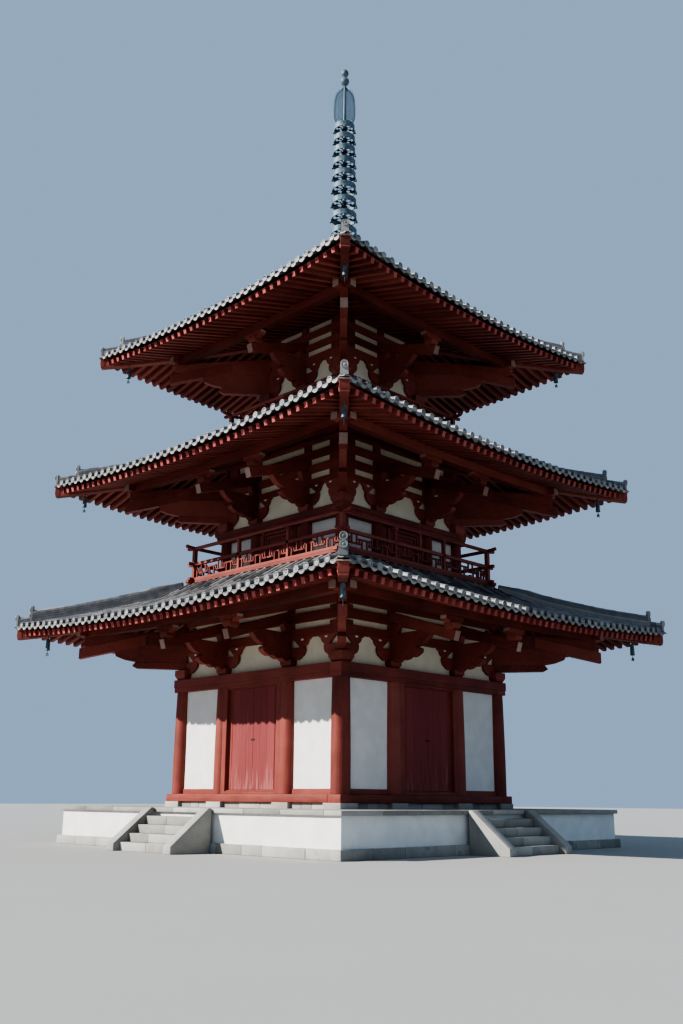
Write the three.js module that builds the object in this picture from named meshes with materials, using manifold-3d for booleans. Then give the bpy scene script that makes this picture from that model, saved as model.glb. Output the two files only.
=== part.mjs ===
// Three-storey timber pagoda: stone podium, ground storey with four doorways, two upper storeys with
// railings, three tiled roofs and a bronze finial. Millimetres, +Z up, origin under the podium's middle.
import * as THREE from "three";
import { mergeVertices } from "three/addons/utils/BufferGeometryUtils.js";
import Module from "manifold-3d";

const wasm = await Module();
wasm.setup();

// Podium
const PODIUM_TOP = 1000;
const COPING_HALF = 5512;
const COPING_THICK = 106;
const PODIUM_FACE_HALF = 5430;
const BASE_COURSE_HALF = 5540;
const BASE_COURSE_TOP = 227;
const PAD_STONE = 600;
const STEP_COUNT = 5;
const STEP_TREAD = 240;
const STEPS_HALF_WIDTH = 1000;
const WING_WIDTH = 280;

// Ground storey
const WALL_1 = 3150;
const DOOR_COLUMN = 1313;
const FOOTING_OUTER = 3350;
const SILL_BOTTOM = PODIUM_TOP + 142;
const SILL_TOP = PODIUM_TOP + 339;
const SILL_OUTER = 3430;
const SILL_INNER = 2990;
const LOW_RAIL_TOP = PODIUM_TOP + 470;
const COLUMN_FOOT_R = 245;
const COLUMN_HEAD_R = 220;
const COLUMN_TOP = PODIUM_TOP + 3134;
const PANEL_THICK = 120;

// Doors
const DOOR_HALF = 865;
const THRESHOLD_TOP = PODIUM_TOP + 440;
const LINTEL_BOTTOM = PODIUM_TOP + 3066;
const FRAME_FRONT = WALL_1 + 190;
const FRAME_BACK = WALL_1 - 70;
const LEAF_THICK = 60;
const LEAF_PLANE = WALL_1 + 60;
const LEAF_GAP = 6;
const PIVOT_R = 25;
const PIVOT_PLAY = 1.2;
const ROUND = 12;
const PIVOT_LENGTH = 26;

const SEAT = 0.3;

// One set of driving sizes for each storey: heights above the podium top. The roof curve runs from the eave
// up to the flat shelf under the next storey, or to the foot of the finial; inside level it has no upturn.
const STOREYS = [
  {
    wall: WALL_1, columns: [-WALL_1, -DOOR_COLUMN, DOOR_COLUMN, WALL_1],
    headBottom: 3134, headTop: 3490, headStep: 225, bell: 4220,
    strips: [[4465, 4624], [4877, 5016]], stripEnd: 150, tail: 4130, purlinOut: 2050, armReach: 830,
    eave: 6560, eaveBottom: 4460, slope: 0.31, upturn: 270, corner: 6640,
    shelf: 2150, ridgeHead: 3300, ridgeEnd: 6370, tileRows: 43, level: 3200,
    roofCurve: [[6760, 4815], [4100, 5780], [3200, 6330]],
  },
  {
    wall: 2408, columns: [-2408, -1060, 1060, 2408], headBottom: 7540, headTop: 7851, headStep: 160, bell: 8605,
    strips: [[8785, 8968], [9198, 9380], [9610, 9815]], stripEnd: 450, tail: 8520, purlinOut: 2000,
    armReach: 690,
    eave: 6030, eaveBottom: 8790, slope: 0.32, upturn: 270, corner: 6110,
    shelf: 1380, ridgeHead: 2640, ridgeEnd: 5650, tileRows: 39, level: 2540,
    roofCurve: [[6190, 9150], [3500, 10070], [2540, 10580]],
  },
  {
    wall: 1605, columns: [-1605, 0, 1605], headBottom: 11700, headTop: 11985, headStep: 145, bell: 12790,
    strips: [[13053, 13237], [13449, 13635], [13845, 14030]], stripEnd: 450, tail: 12700, purlinOut: 2000,
    armReach: 770,
    eave: 5280, eaveBottom: 13010, slope: 0.285, upturn: 270, corner: 5355,
    shelf: 0, ridgeHead: 620, ridgeEnd: 4890, tileRows: 35, level: 1500,
    roofCurve: [[5430, 13370], [4200, 13960], [2800, 14780], [1500, 15720], [680, 16450]],
  },
];
const RAFTER_DEPTH = 150;
const EAVE_BOARD = 110;
const HIP_RAFTER_WIDTH = 220;
const TIMBER_FACE = 60;
const BEARER_HALF = 360;
const PLASTER_FACE = -20;
const PLASTER_BACK = -120;
const TAIL_OUT = 2200;
const TILE_RIB = 75;
const TILE_EDGE = 140;

// Finial
const BASIN_BOTTOM = 16450;
const BASIN_HALF = 560;
const RING_HEIGHTS = [18130, 18704, 19248, 19774, 20259, 20724, 21193, 21642, 22090];
const RING_LARGE_R = 430;
const RING_SMALL_R = 345;
const SHAFT_R = 75;
const FLAME_BOTTOM = 22165;
const FLAME_TOP = 23634;
const TIP = 24355;

function solid(geometry, matrix) {
  const bare = new THREE.BufferGeometry();
  const source = geometry.index ? geometry.toNonIndexed() : geometry;
  bare.setAttribute("position", source.getAttribute("position").clone());
  if (matrix) bare.applyMatrix4(matrix);
  const merged = mergeVertices(bare, 1e-3);
  const corners = merged.index.array;
  const kept = [];
  for (let k = 0; k < corners.length; k += 3) {
    const [a, b, c] = [corners[k], corners[k + 1], corners[k + 2]];
    if (a !== b && b !== c && c !== a) kept.push(a, b, c);
  }
  return new wasm.Manifold(
    new wasm.Mesh({
      numProp: 3,
      vertProperties: merged.attributes.position.array,
      triVerts: new Uint32Array(kept),
    }),
  );
}

function union(parts) {
  return parts.reduce((sum, part) => sum.add(part));
}

function box(x0, x1, y0, y1, z0, z1) {
  const shape = new THREE.BoxGeometry(x1 - x0, y1 - y0, z1 - z0);
  return solid(shape, new THREE.Matrix4().makeTranslation((x0 + x1) / 2, (y0 + y1) / 2, (z0 + z1) / 2));
}

function block(half, z0, z1) {
  return box(-half, half, -half, half, z0, z1);
}

function squareRing(outer, inner, z0, z1) {
  return block(outer, z0, z1).subtract(block(inner, z0 - 10, z1 + 10));
}

// A profile of [radius, height] points in the order that turns its surface outwards.
function latheShape(profile, sides) {
  const points = profile.map(([r, z]) => new THREE.Vector2(r, z));
  if (THREE.ShapeUtils.area(points) < 0) points.reverse();
  return new THREE.LatheGeometry(points, sides).applyMatrix4(new THREE.Matrix4().makeRotationX(Math.PI / 2));
}

function lathe(profile, sides) {
  return solid(latheShape(profile, sides));
}

// An outline in the plane of travel v (outwards) and z, given a width across, at angle about +Z.
function plate(outline, width, angle, across = 0) {
  const shape = new THREE.Shape(outline.map(([v, z]) => new THREE.Vector2(v, z)));
  const slab = new THREE.ExtrudeGeometry(shape, { depth: width, bevelEnabled: false });
  const place = new THREE.Matrix4()
    .makeRotationZ(angle)
    .multiply(new THREE.Matrix4().makeTranslation(0, across + width / 2, 0))
    .multiply(new THREE.Matrix4().makeRotationX(Math.PI / 2));
  return solid(slab, place);
}

// An outline of [along, z] points on the front side, from the distance near outwards by its depth.
function facing(outline, depth, near) {
  const shape = new THREE.Shape(outline.map(([u, z]) => new THREE.Vector2(u, z)));
  const slab = new THREE.ExtrudeGeometry(shape, { depth, bevelEnabled: false });
  const upright = new THREE.Matrix4().makeRotationX(Math.PI / 2);
  return solid(slab, new THREE.Matrix4().makeTranslation(0, -near, 0).multiply(upright));
}

function turned(part, quarter) {
  return part.rotate([0, 0, 90 * quarter]);
}

function aroundFour(part) {
  return union([0, 1, 2, 3].map((quarter) => turned(part, quarter)));
}

// Rise of the eaves towards the corners: u along the side, v out from the middle.
function eaveRise(storey, u, v, inner = storey.wall + PLASTER_BACK) {
  const out = Math.max(0, (v - inner) / (storey.eave - inner));
  return storey.upturn * (u / storey.eave) ** 2 * out;
}

function rafterUnderside(storey, u, v) {
  return PODIUM_TOP + storey.eaveBottom + storey.slope * (storey.eave - v) + eaveRise(storey, u, v);
}

// One side of a hipped body over columns u and stations v, from the outermost inwards, closed on the hips.
function hippedSide(columns, stations, top, bottom) {
  const inner = stations[stations.length - 1];
  const across = [...new Set([...columns, -inner, inner])].sort((a, b) => a - b);
  const slab = new THREE.BoxGeometry(2, 1, 1, across.length - 1, stations.length - 1, 1);
  const at = slab.getAttribute("position");
  for (let i = 0; i < at.count; i += 1) {
    const u = across[Math.round(((at.getX(i) + 1) / 2) * (across.length - 1))];
    const v = Math.max(stations[Math.round((at.getY(i) + 0.5) * (stations.length - 1))], Math.abs(u));
    at.setXYZ(i, u, -v, at.getZ(i) > 0 ? top(u, v) : bottom(u, v));
  }
  return solid(slab);
}

// The eaves' rafters and boarding as one slab a side, mitred into the four hip rafters. Grown by a seat,
// it is the space that the purlins and the tiles are cut to.
function rafterFrame(storey, grow = 0) {
  const { eave, wall, corner } = storey;
  const inner = wall + PLASTER_BACK - grow;
  const outer = eave + grow;
  const middle = (inner + eave) / 2;
  const under = (u, v) => rafterUnderside(storey, u, v) - grow;
  const upper = (u, v) => rafterUnderside(storey, u, v) + RAFTER_DEPTH + EAVE_BOARD + grow;
  const side = hippedSide([-outer, -middle, 0, middle, outer], [outer, inner], upper, under);
  const stations = [inner - 60, middle, outer, corner + grow];
  const top = stations.map((v) => [v * Math.SQRT2, upper(v, v)]);
  const low = stations.map((v) => [v * Math.SQRT2, under(v, v) - 95]).reverse();
  const hip = plate([...top, ...low].reverse(), HIP_RAFTER_WIDTH + 2 * grow, -Math.PI / 4);
  return aroundFour(side.add(hip));
}

function windBell(storey) {
  const half = storey.corner - 620;
  const top = rafterUnderside(storey, half, half) - 95;
  const bell = lathe([[0, 60], [45, -60], [72, -400], [0, -400]], 6);
  const clapper = box(-45, 45, -8, 8, -580, -460).add(box(-12, 12, -8, 8, -470, -390));
  return bell.add(clapper).rotate([0, 0, -45]).translate([half, -half, top]);
}

// Height at v on a line through [v, height] points that run inwards.
function follow(points, v) {
  let k = 0;
  while (k < points.length - 2 && v < points[k + 1][0]) k += 1;
  const [[v0, z0], [v1, z1]] = [points[k], points[k + 1]];
  return z0 + ((v - v0) * (z1 - z0)) / (v1 - v0);
}

// Tiles and their bed. Every second row of round tiles stands up as a rib; the bed lies on the rafter
// boarding outside the wall and is open to the roof space inside it.
function tileRoof(storey) {
  const { eave, wall, shelf, tileRows, ridgeHead, ridgeEnd, level } = storey;
  const curve = storey.roofCurve.map(([v, z]) => [v, PODIUM_TOP + z]);
  const [edge, edgeTop] = curve[0];
  const [head, headTop] = curve[curve.length - 1];
  const surface = (u, v) => follow(curve, v) + eaveRise(storey, u, v, level);
  const pitch = (2 * edge) / tileRows;
  const drop = (u) => TILE_RIB * (1 - Math.abs(((Math.abs(u) / pitch) % 2) - 1));
  const rows = Array.from({ length: tileRows }, (_, k) => (k - (tileRows - 1) / 2) * pitch);
  const floor = PODIUM_TOP + storey.eaveBottom - 100;
  const ribbed = (u, v) => surface(u, v) - drop(u);
  const slope = hippedSide([-edge, ...rows, edge], curve.map(([v]) => v), ribbed, () => floor);
  const tiles = aroundFour(slope).add(block(head, floor, headTop));

  const sheet = (v) => rafterUnderside(storey, 0, v) + RAFTER_DEPTH + EAVE_BOARD / 2;
  const rim = wall + PLASTER_BACK;
  const ceiling = shelf ? [shelf, sheet(rim) + 60] : [head, headTop - 420];
  const under = [[edge, edgeTop - TILE_EDGE], [eave - 20, sheet(eave - 20)], [rim, sheet(rim)], ceiling];
  const reach = edge + 50;
  const space = hippedSide(
    [-reach, -(rim + eave) / 2, -rim, rim, (rim + eave) / 2, reach],
    [reach, ...under.slice(1).map(([v]) => v)],
    (u, v) => follow(under, v) + eaveRise(storey, u, v, level),
    () => floor - 100,
  );
  const hollow = aroundFour(space).add(block(ceiling[0], floor - 100, shelf ? headTop + 100 : ceiling[1]));

  const ridge = (from, to, high, width, headHigh = high) => {
    const stations = [from, from + 600, (from + 600 + to) / 2, to];
    const upper = stations.map((v, k) => [v * Math.SQRT2, surface(v, v) + (k ? high : headHigh)]);
    const lower = stations.map((v) => [v * Math.SQRT2, surface(v, v) - TILE_RIB - 40]).reverse();
    return plate([...upper, ...lower].reverse(), width, -Math.PI / 4);
  };
  const lowRidge = ridge(ridgeEnd - 640, edge - 40, 165, 190);
  const hips = ridge(ridgeHead, ridgeEnd, 330, 250, shelf ? 120 : 330).add(lowRidge);
  return tiles.subtract(hollow).add(aroundFour(hips)).subtract(rafterFrame(storey, SEAT));
}

// Edge of a cloud-shaped arm from its block upwards: fractions of its reach and of its height.
const CLOUD = [[0.56, 0.36], [0.655, 0.45], [0.67, 0.7], [0.83, 0.92], [0.94, 1]];

// One side's timberwork above the head beam: a slab between beams and blocks, its plastered fields left open.
function wallTimbers(storey, base, topLevel) {
  const { wall, columns, strips, stripEnd, armReach } = storey;
  const face = wall + TIMBER_FACE;
  const bell = PODIUM_TOP + storey.bell;
  const depth = bell - base;
  const back = wall + PLASTER_FACE + SEAT;
  const fields = [];
  for (let k = 0; k < columns.length - 1; k += 1) {
    const [left, right] = [columns[k], columns[k + 1]];
    const most = (right - left) / 2 - 30;
    const cloud = CLOUD.map(([a, b]) => [Math.min(a * armReach, most), base + b * depth]);
    const edge = [[225, base], [245, base + 0.27 * depth], ...cloud];
    const rising = edge.map(([a, z]) => [left + a, z]);
    const outline = [...rising, ...edge.map(([a, z]) => [right - a, z]).reverse()];
    fields.push(facing(outline, face - back + 40, back - 20));
    const from = left + (k === 0 ? stripEnd : 150);
    const to = right - (k === columns.length - 2 ? stripEnd : 150);
    for (const [z0, z1] of strips) {
      fields.push(box(from, to, -face - 20, -back + 20, PODIUM_TOP + z0, PODIUM_TOP + z1));
    }
  }
  return box(-face, face, -face, -back, base - 20, topLevel + 20).subtract(union(fields));
}

function bracketFrame(storey, headBack) {
  const { wall, columns, purlinOut } = storey;
  const base = PODIUM_TOP + storey.headTop;
  const depth = PODIUM_TOP + storey.bell - base;
  const face = wall + TIMBER_FACE;
  const plateTop = PODIUM_TOP + storey.eaveBottom + storey.slope * (storey.eave - wall);
  const topLevel = PODIUM_TOP + storey.strips[storey.strips.length - 1][1];
  const rings = [
    squareRing(wall + 200, headBack, PODIUM_TOP + storey.headBottom, base - storey.headStep),
    squareRing(wall + 235, headBack, base - storey.headStep, base),
    squareRing(face, wall + PLASTER_BACK, topLevel, plateTop),
  ];
  const wallArms = aroundFour(wallTimbers(storey, base, topLevel));

  const tail = PODIUM_TOP + storey.tail;
  const reach = wall + TAIL_OUT;
  const purlinV = wall + purlinOut;
  const purlinTop = (u, v) => rafterUnderside(storey, u, v);
  const purlinBottom = purlinTop(0, purlinV) - 265;
  const lowArm = [
    [wall, base + 0.27 * depth], [wall + 240, base + 0.42 * depth], [wall + 1000, base + 0.64 * depth],
    [wall + 1400, tail + 130], [reach, tail - 135], [reach, tail + 135], [wall, tail + 135 + 0.33 * TAIL_OUT],
  ];
  const straight = [];
  const inner = columns.slice(1, -1);
  for (const u of inner) {
    straight.push(plate(lowArm, 210, -Math.PI / 2, u));
    const foot = tail - purlinBottom;
    const bearer = [
      [-BEARER_HALF, 10], [-BEARER_HALF, -80], [-130, -170], [-130, foot],
      [130, foot], [130, -170], [BEARER_HALF, -80], [BEARER_HALF, 10],
    ];
    straight.push(facing(bearer.map(([a, z]) => [u + a, purlinBottom + z]), 200, purlinV - 100));
  }
  const d = Math.SQRT2;
  const cornerTop = purlinTop(purlinV, purlinV) - 265 + 20;
  const diagonal = plate(
    [
      [(wall - 20) * d, base + 0.2 * depth],
      [wall * d + 1050, base + 0.2 * depth], [wall * d + 1160, base + 0.42 * depth],
      [wall * d + 1160, base + 0.72 * depth], [wall * d + 1950, base + 0.78 * depth],
      [wall * d + 2080, cornerTop - 290], [reach * d, cornerTop - 290],
      [reach * d, cornerTop], [(wall - 20) * d, cornerTop + 260],
    ],
    230,
    -Math.PI / 4,
  );
  const within = block(face - 2, base - 1, topLevel + 2000);
  const outside = aroundFour(union([...straight, diagonal])).subtract(within);

  const ends = purlinV + 350;
  const beam = new THREE.BoxGeometry(2 * ends, 240, 265, 4, 1, 1);
  const at = beam.getAttribute("position");
  for (let i = 0; i < at.count; i += 1) {
    const u = at.getX(i);
    const v = purlinV + (at.getY(i) > 0 ? 120 : -120);
    const upper = purlinTop(Math.min(Math.abs(u), purlinV), v) + 20;
    const lower = purlinTop(Math.min(Math.abs(u), purlinV), purlinV) - 265;
    at.setXYZ(i, u, v, at.getZ(i) > 0 ? upper : lower);
  }
  const purlins = aroundFour(solid(beam));
  return union([...rings, wallArms, outside, purlins]).subtract(rafterFrame(storey, SEAT));
}

// A round column with entasis, standing from z0 to z1.
function column(footR, headR, z0, z1, sides = ROUND, grow = 0) {
  const span = z1 - z0;
  const more = grow ? 5 : 0;
  const profile = [
    [0, z0 - more], [footR + grow, z0 - more], [footR + grow, z0 + 0.45 * span],
    [headR + grow, z1 + more], [0, z1 + more],
  ];
  return lathe(profile, sides);
}

const groundColumn = column(COLUMN_FOOT_R, COLUMN_HEAD_R, SILL_TOP, COLUMN_TOP);
const columnCutter = column(COLUMN_FOOT_R, COLUMN_HEAD_R, SILL_TOP, COLUMN_TOP, ROUND, 0.4);

// Front side; the other three are quarter turns of it.
function doorway() {
  const pivots = [-1, 1].flatMap((s) => {
    const x = s * (DOOR_HALF - LEAF_GAP - LEAF_THICK / 2);
    const hole = lathe([[0, 0], [PIVOT_R + PIVOT_PLAY, 0], [PIVOT_R + PIVOT_PLAY, 60], [0, 60]], ROUND);
    return [
      hole.translate([x, -LEAF_PLANE, THRESHOLD_TOP - PIVOT_LENGTH - SEAT]),
      hole.translate([x, -LEAF_PLANE, LINTEL_BOTTOM - 60 + PIVOT_LENGTH + 4]),
    ];
  });
  const jamb = box(DOOR_HALF, DOOR_COLUMN - 60, -FRAME_FRONT, -FRAME_BACK, SILL_TOP, COLUMN_TOP);
  const rail = box(DOOR_COLUMN, WALL_1, -WALL_1 - 90, -WALL_1 + 90, SILL_TOP, LOW_RAIL_TOP);
  const side = union([groundColumn.translate([DOOR_COLUMN, -WALL_1, 0]), jamb, rail]);
  const threshold = box(-DOOR_COLUMN, DOOR_COLUMN, -FRAME_FRONT, -FRAME_BACK, SILL_TOP, THRESHOLD_TOP);
  const lintel = box(-DOOR_COLUMN, DOOR_COLUMN, -FRAME_FRONT, -FRAME_BACK, LINTEL_BOTTOM, COLUMN_TOP);
  const cuts = [...pivots, ...[-1, 1].map((s) => columnCutter.translate([s * WALL_1, -WALL_1, 0]))];
  return union([side, side.mirror([1, 0, 0]), threshold, lintel]).subtract(union(cuts));
}

function wallPanel(side) {
  const [face, back] = [-WALL_1 - PANEL_THICK / 2, -WALL_1 + PANEL_THICK / 2];
  const slab = box(DOOR_COLUMN + 40, WALL_1 - 40, face, back, LOW_RAIL_TOP, COLUMN_TOP);
  const cuts = [DOOR_COLUMN, WALL_1].map((u) => columnCutter.translate([u, -WALL_1, 0]));
  const panel = slab.subtract(union(cuts));
  return side > 0 ? panel : panel.mirror([1, 0, 0]);
}

// A leaf in its own frame: the pivot's axis is z, the leaf runs towards -x times side.
const LEAF_LENGTH = DOOR_HALF - LEAF_GAP - LEAF_THICK / 2 - LEAF_GAP / 2;
const LEAF_BOTTOM = THRESHOLD_TOP + LEAF_GAP;
const LEAF_TOP = LINTEL_BOTTOM - LEAF_GAP;

function doorLeaf(side) {
  const r = LEAF_THICK / 2;
  const outline = new THREE.Shape();
  outline.moveTo(-LEAF_LENGTH, -r);
  outline.lineTo(0, -r);
  outline.absarc(0, 0, r, -Math.PI / 2, Math.PI / 2, false);
  outline.lineTo(-LEAF_LENGTH, r);
  outline.closePath();
  const depth = LEAF_TOP - LEAF_BOTTOM;
  const board = new THREE.ExtrudeGeometry(outline, { depth, bevelEnabled: false, curveSegments: 3 });
  const pin = lathe(
    [[0, LEAF_BOTTOM - LEAF_GAP - PIVOT_LENGTH], [PIVOT_R, LEAF_BOTTOM - LEAF_GAP - PIVOT_LENGTH],
     [PIVOT_R, LEAF_TOP + LEAF_GAP + PIVOT_LENGTH], [0, LEAF_TOP + LEAF_GAP + PIVOT_LENGTH]],
    ROUND,
  );
  const leaf = solid(board, new THREE.Matrix4().makeTranslation(0, 0, LEAF_BOTTOM)).add(pin);
  return side > 0 ? leaf : leaf.mirror([1, 0, 0]);
}

function podium() {
  const body = union([
    block(BASE_COURSE_HALF, 0, BASE_COURSE_TOP),
    block(PODIUM_FACE_HALF, 0, PODIUM_TOP),
    block(COPING_HALF, PODIUM_TOP - COPING_THICK, PODIUM_TOP),
  ]);
  const pad = PAD_STONE / 2;
  const pads = [-WALL_1, -DOOR_COLUMN, DOOR_COLUMN, WALL_1].map((u) =>
    box(u - pad, u + pad, -WALL_1 - pad, -WALL_1 + pad, PODIUM_TOP - 50, SILL_BOTTOM),
  );
  const footing = squareRing(FOOTING_OUTER, WALL_1 - pad, PODIUM_TOP - 50, SILL_BOTTOM);
  return union([body, footing, aroundFour(union(pads))]);
}

function steps() {
  const riser = PODIUM_TOP / STEP_COUNT;
  const start = BASE_COURSE_HALF + SEAT;
  const outline = [[start, 0], [start, PODIUM_TOP - riser]];
  for (let i = 1; i < STEP_COUNT; i += 1) {
    const nosing = start + i * STEP_TREAD;
    outline.push([nosing, PODIUM_TOP - i * riser], [nosing, PODIUM_TOP - (i + 1) * riser]);
  }
  const flight = plate(outline.reverse(), 2 * STEPS_HALF_WIDTH + 20, -Math.PI / 2);
  const run = start + STEP_COUNT * STEP_TREAD - 60;
  const wing = [[start, 0], [run, 0], [run, 170], [start + 90, PODIUM_TOP], [start, PODIUM_TOP]];
  const wingMiddle = STEPS_HALF_WIDTH + WING_WIDTH / 2;
  const wings = [-1, 1].map((s) => plate(wing, WING_WIDTH, -Math.PI / 2, s * wingMiddle));
  return union([flight, ...wings]);
}

function groundSill() {
  return squareRing(SILL_OUTER, SILL_INNER, SILL_BOTTOM, SILL_TOP);
}

function plasterBand(storey, bottom) {
  const top = PODIUM_TOP + storey.strips[storey.strips.length - 1][1];
  const band = squareRing(storey.wall + PLASTER_FACE, storey.wall + PLASTER_BACK, bottom, top);
  return band.subtract(rafterFrame(storey, SEAT));
}

// Sill, columns, rails and fixed doors of an upper storey, in front of its plaster.
function upperFrame(storey, foot, door) {
  const head = PODIUM_TOP + storey.headBottom;
  const face = storey.wall + PLASTER_FACE + SEAT;
  const sill = squareRing(storey.wall + 170, storey.wall - 170, foot, foot + 200);
  const post = lathe([[0, foot + 190], [180, foot + 190], [180, head], [0, head]], 8);
  const parts = storey.columns.slice(1).map((u) => post.translate([u, -storey.wall, 0]));
  if (door) {
    const y = -storey.wall;
    parts.push(box(-door - 100, door + 100, y - 120, -face, foot + 190, head));
  }
  const outer = aroundFour(union(parts)).subtract(block(face, foot + 200, head + 10));
  let frame = sill.add(outer);
  if (door) {
    const recess = box(-door, door, -storey.wall - 300, -storey.wall - 60, foot + 280, head - 60);
    const panel = box(-door - 20, door + 20, -storey.wall - 70, -storey.wall + 90, foot + 260, head - 40);
    frame = frame.subtract(aroundFour(recess)).add(aroundFour(panel));
  }
  return frame;
}

function upperPlaster(storey, foot, door) {
  const wall = plasterBand(storey, foot + 200);
  const [near, far] = [-storey.wall - 300, -storey.wall + 300];
  const hatch = box(-door - 21, door + 21, near, far, foot + 259, PODIUM_TOP + storey.headBottom - 39);
  return door ? wall.subtract(aroundFour(hatch)) : wall;
}

function railing(half, foot, posts) {
  const z = (h) => foot + h;
  const parts = [
    box(-half - 260, half + 260, -half - 75, -half + 75, z(0), z(170)),
    box(-half - 240, half + 240, -half - 45, -half + 45, z(540), z(630)),
  ];
  const rod = new THREE.CylinderGeometry(55, 55, 2 * half + 640, 6);
  const lying = new THREE.Matrix4().makeRotationZ(Math.PI / 2);
  parts.push(solid(rod, new THREE.Matrix4().makeTranslation(0, -half, z(1070)).multiply(lying)));
  for (const u of posts) parts.push(box(u - 45, u + 45, -half - 45, -half + 45, z(160), z(1060)));
  parts.push(box(-half - 60, -half + 60, -half - 60, -half + 60, z(100), z(1128)));
  return aroundFour(union(parts));
}

function dewBasin() {
  const low = PODIUM_TOP + BASIN_BOTTOM;
  const stepped = union([
    block(BASIN_HALF + 60, low + SEAT, low + 110),
    block(BASIN_HALF - 40, low + 110, low + 420),
    block(BASIN_HALF + 40, low + 420, low + 560),
  ]);
  const bowl = lathe(
    [[0, low + 550], [430, low + 550], [430, low + 640], [370, low + 830], [240, low + 960],
     [150, low + 1010], [330, low + 1090], [380, low + 1200], [0, low + 1200]],
    14,
  );
  return stepped.add(bowl);
}

function ringStack() {
  const low = PODIUM_TOP + BASIN_BOTTOM + 1200 + SEAT;
  const top = PODIUM_TOP + FLAME_BOTTOM + 60;
  const parts = [lathe([[0, low], [SHAFT_R, low], [SHAFT_R * 0.7, top], [0, top]], 8)];
  RING_HEIGHTS.forEach((height, i) => {
    const r = RING_LARGE_R + ((RING_SMALL_R - RING_LARGE_R) * i) / (RING_HEIGHTS.length - 1);
    const z = PODIUM_TOP + height;
    parts.push(lathe([[r - 50, z - 190], [r, z - 190], [r, z], [r - 50, z], [r - 50, z - 190]], 8));
    const end = 0.9 * r;
    const bar = plate([[-end, z - 130], [end, z - 130], [end, z - 60], [-end, z - 60]], 36, Math.PI / 8);
    parts.push(turned(bar, i % 2));
  });
  return union(parts);
}

function flame() {
  const z0 = PODIUM_TOP + FLAME_BOTTOM + 60 + SEAT;
  const top = PODIUM_TOP + FLAME_TOP;
  const outline = [
    [0, z0], [300, z0], [345, z0 + 150], [350, z0 + 500], [330, z0 + 900], [270, z0 + 1130],
    [150, top - 130], [0, top],
  ];
  const mirrored = outline.slice(1, -1).reverse().map(([x, z]) => [-x, z]);
  const fin = plate([...outline, ...mirrored], 24, 0);
  const tip = PODIUM_TOP + TIP;
  const stem = lathe(
    [[0, z0], [52, z0], [34, top], [60, top + 60], [140, top + 160], [150, top + 240], [90, top + 330],
     [40, top + 390], [110, tip - 250], [130, tip - 170], [80, tip - 70], [0, tip]],
    12,
  );
  return union([fin.rotate([0, 0, 45]), fin.rotate([0, 0, -45]), stem]);
}

const MATERIALS = {
  timber: { color: 0x7a2a22, roughness: 0.75, metalness: 0 },
  door: { color: 0x7d2226, roughness: 0.7, metalness: 0 },
  plaster: { color: 0xe4dfd3, roughness: 0.9, metalness: 0 },
  tile: { color: 0x5b6168, roughness: 0.65, metalness: 0 },
  stone: { color: 0xaaa397, roughness: 0.9, metalness: 0 },
  bronze: { color: 0x6f8f8a, roughness: 0.55, metalness: 0.6 },
};

const pagoda = new THREE.Group();

function addMesh(name, material, part, parent = pagoda) {
  const { vertProperties, triVerts } = part.asOriginal().simplify(0.05).getMesh();
  const geometry = new THREE.BufferGeometry();
  geometry.setAttribute("position", new THREE.BufferAttribute(new Float32Array(vertProperties), 3));
  geometry.setIndex(new THREE.BufferAttribute(new Uint32Array(triVerts), 1));
  geometry.computeVertexNormals();
  const mesh = new THREE.Mesh(geometry, new THREE.MeshStandardMaterial(MATERIALS[material]));
  mesh.name = name;
  parent.add(mesh);
  return mesh;
}

addMesh("stone_podium", "stone", podium());
addMesh("ground_sill", "timber", groundSill());

const SIDES = ["front", "right", "back", "left"];
const stepFlight = steps();
const doorwayFrame = doorway();
const panels = { left: wallPanel(-1), right: wallPanel(1) };
const leaves = { left: doorLeaf(-1), right: doorLeaf(1) };
SIDES.forEach((side, quarter) => {
  const sideGroup = new THREE.Group();
  sideGroup.rotation.z = (quarter * Math.PI) / 2;
  pagoda.add(sideGroup);
  addMesh(side + "_steps", "stone", stepFlight, sideGroup);
  addMesh(side + "_doorway_frame", "timber", doorwayFrame, sideGroup);
  addMesh(side + "_corner_post", "timber", groundColumn, sideGroup).position.set(WALL_1, -WALL_1, 0);
  for (const hand of ["left", "right"]) {
    addMesh(side + "_" + hand + "_wall_panel", "plaster", panels[hand], sideGroup);
    const leaf = addMesh(side + "_" + hand + "_door_leaf", "door", leaves[hand], sideGroup);
    leaf.position.set((hand === "right" ? 1 : -1) * (DOOR_HALF - LEAF_GAP - LEAF_THICK / 2), -LEAF_PLANE, 0);
  }
});

const BALCONIES = [null, { foot: PODIUM_TOP + 6330 + SEAT, half: 3080, posts: [-1030, 1030], door: 560 },
  { foot: PODIUM_TOP + 10580 + SEAT, half: 2420, posts: [-810, 810], door: 0 }];
STOREYS.forEach((storey, i) => {
  const n = i + 1;
  const headBack = storey.wall + (i === 0 ? -170 : PLASTER_FACE + SEAT);
  addMesh("storey_" + n + "_bracket_frame", "timber", bracketFrame(storey, headBack));
  addMesh("storey_" + n + "_rafters", "timber", rafterFrame(storey).add(aroundFour(windBell(storey))));
  addMesh("storey_" + n + "_tile_roof", "tile", tileRoof(storey));
  if (i === 0) {
    addMesh("storey_1_plaster_frieze", "plaster", plasterBand(storey, PODIUM_TOP + storey.headTop));
    return;
  }
  const { foot, half, posts, door } = BALCONIES[i];
  addMesh("storey_" + n + "_wall_frame", "timber", upperFrame(storey, foot, door));
  addMesh("storey_" + n + "_plaster_wall", "plaster", upperPlaster(storey, foot, door));
  addMesh("storey_" + n + "_railing", "timber", railing(half, foot, posts));
});

addMesh("dew_basin", "bronze", dewBasin());
addMesh("nine_ring_spire", "bronze", ringStack());
addMesh("flame_and_jewels", "bronze", flame());

export default pagoda;
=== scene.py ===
# Three-storey timber pagoda: its looks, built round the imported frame. Metres, +Z up.
import math
import random

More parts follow.
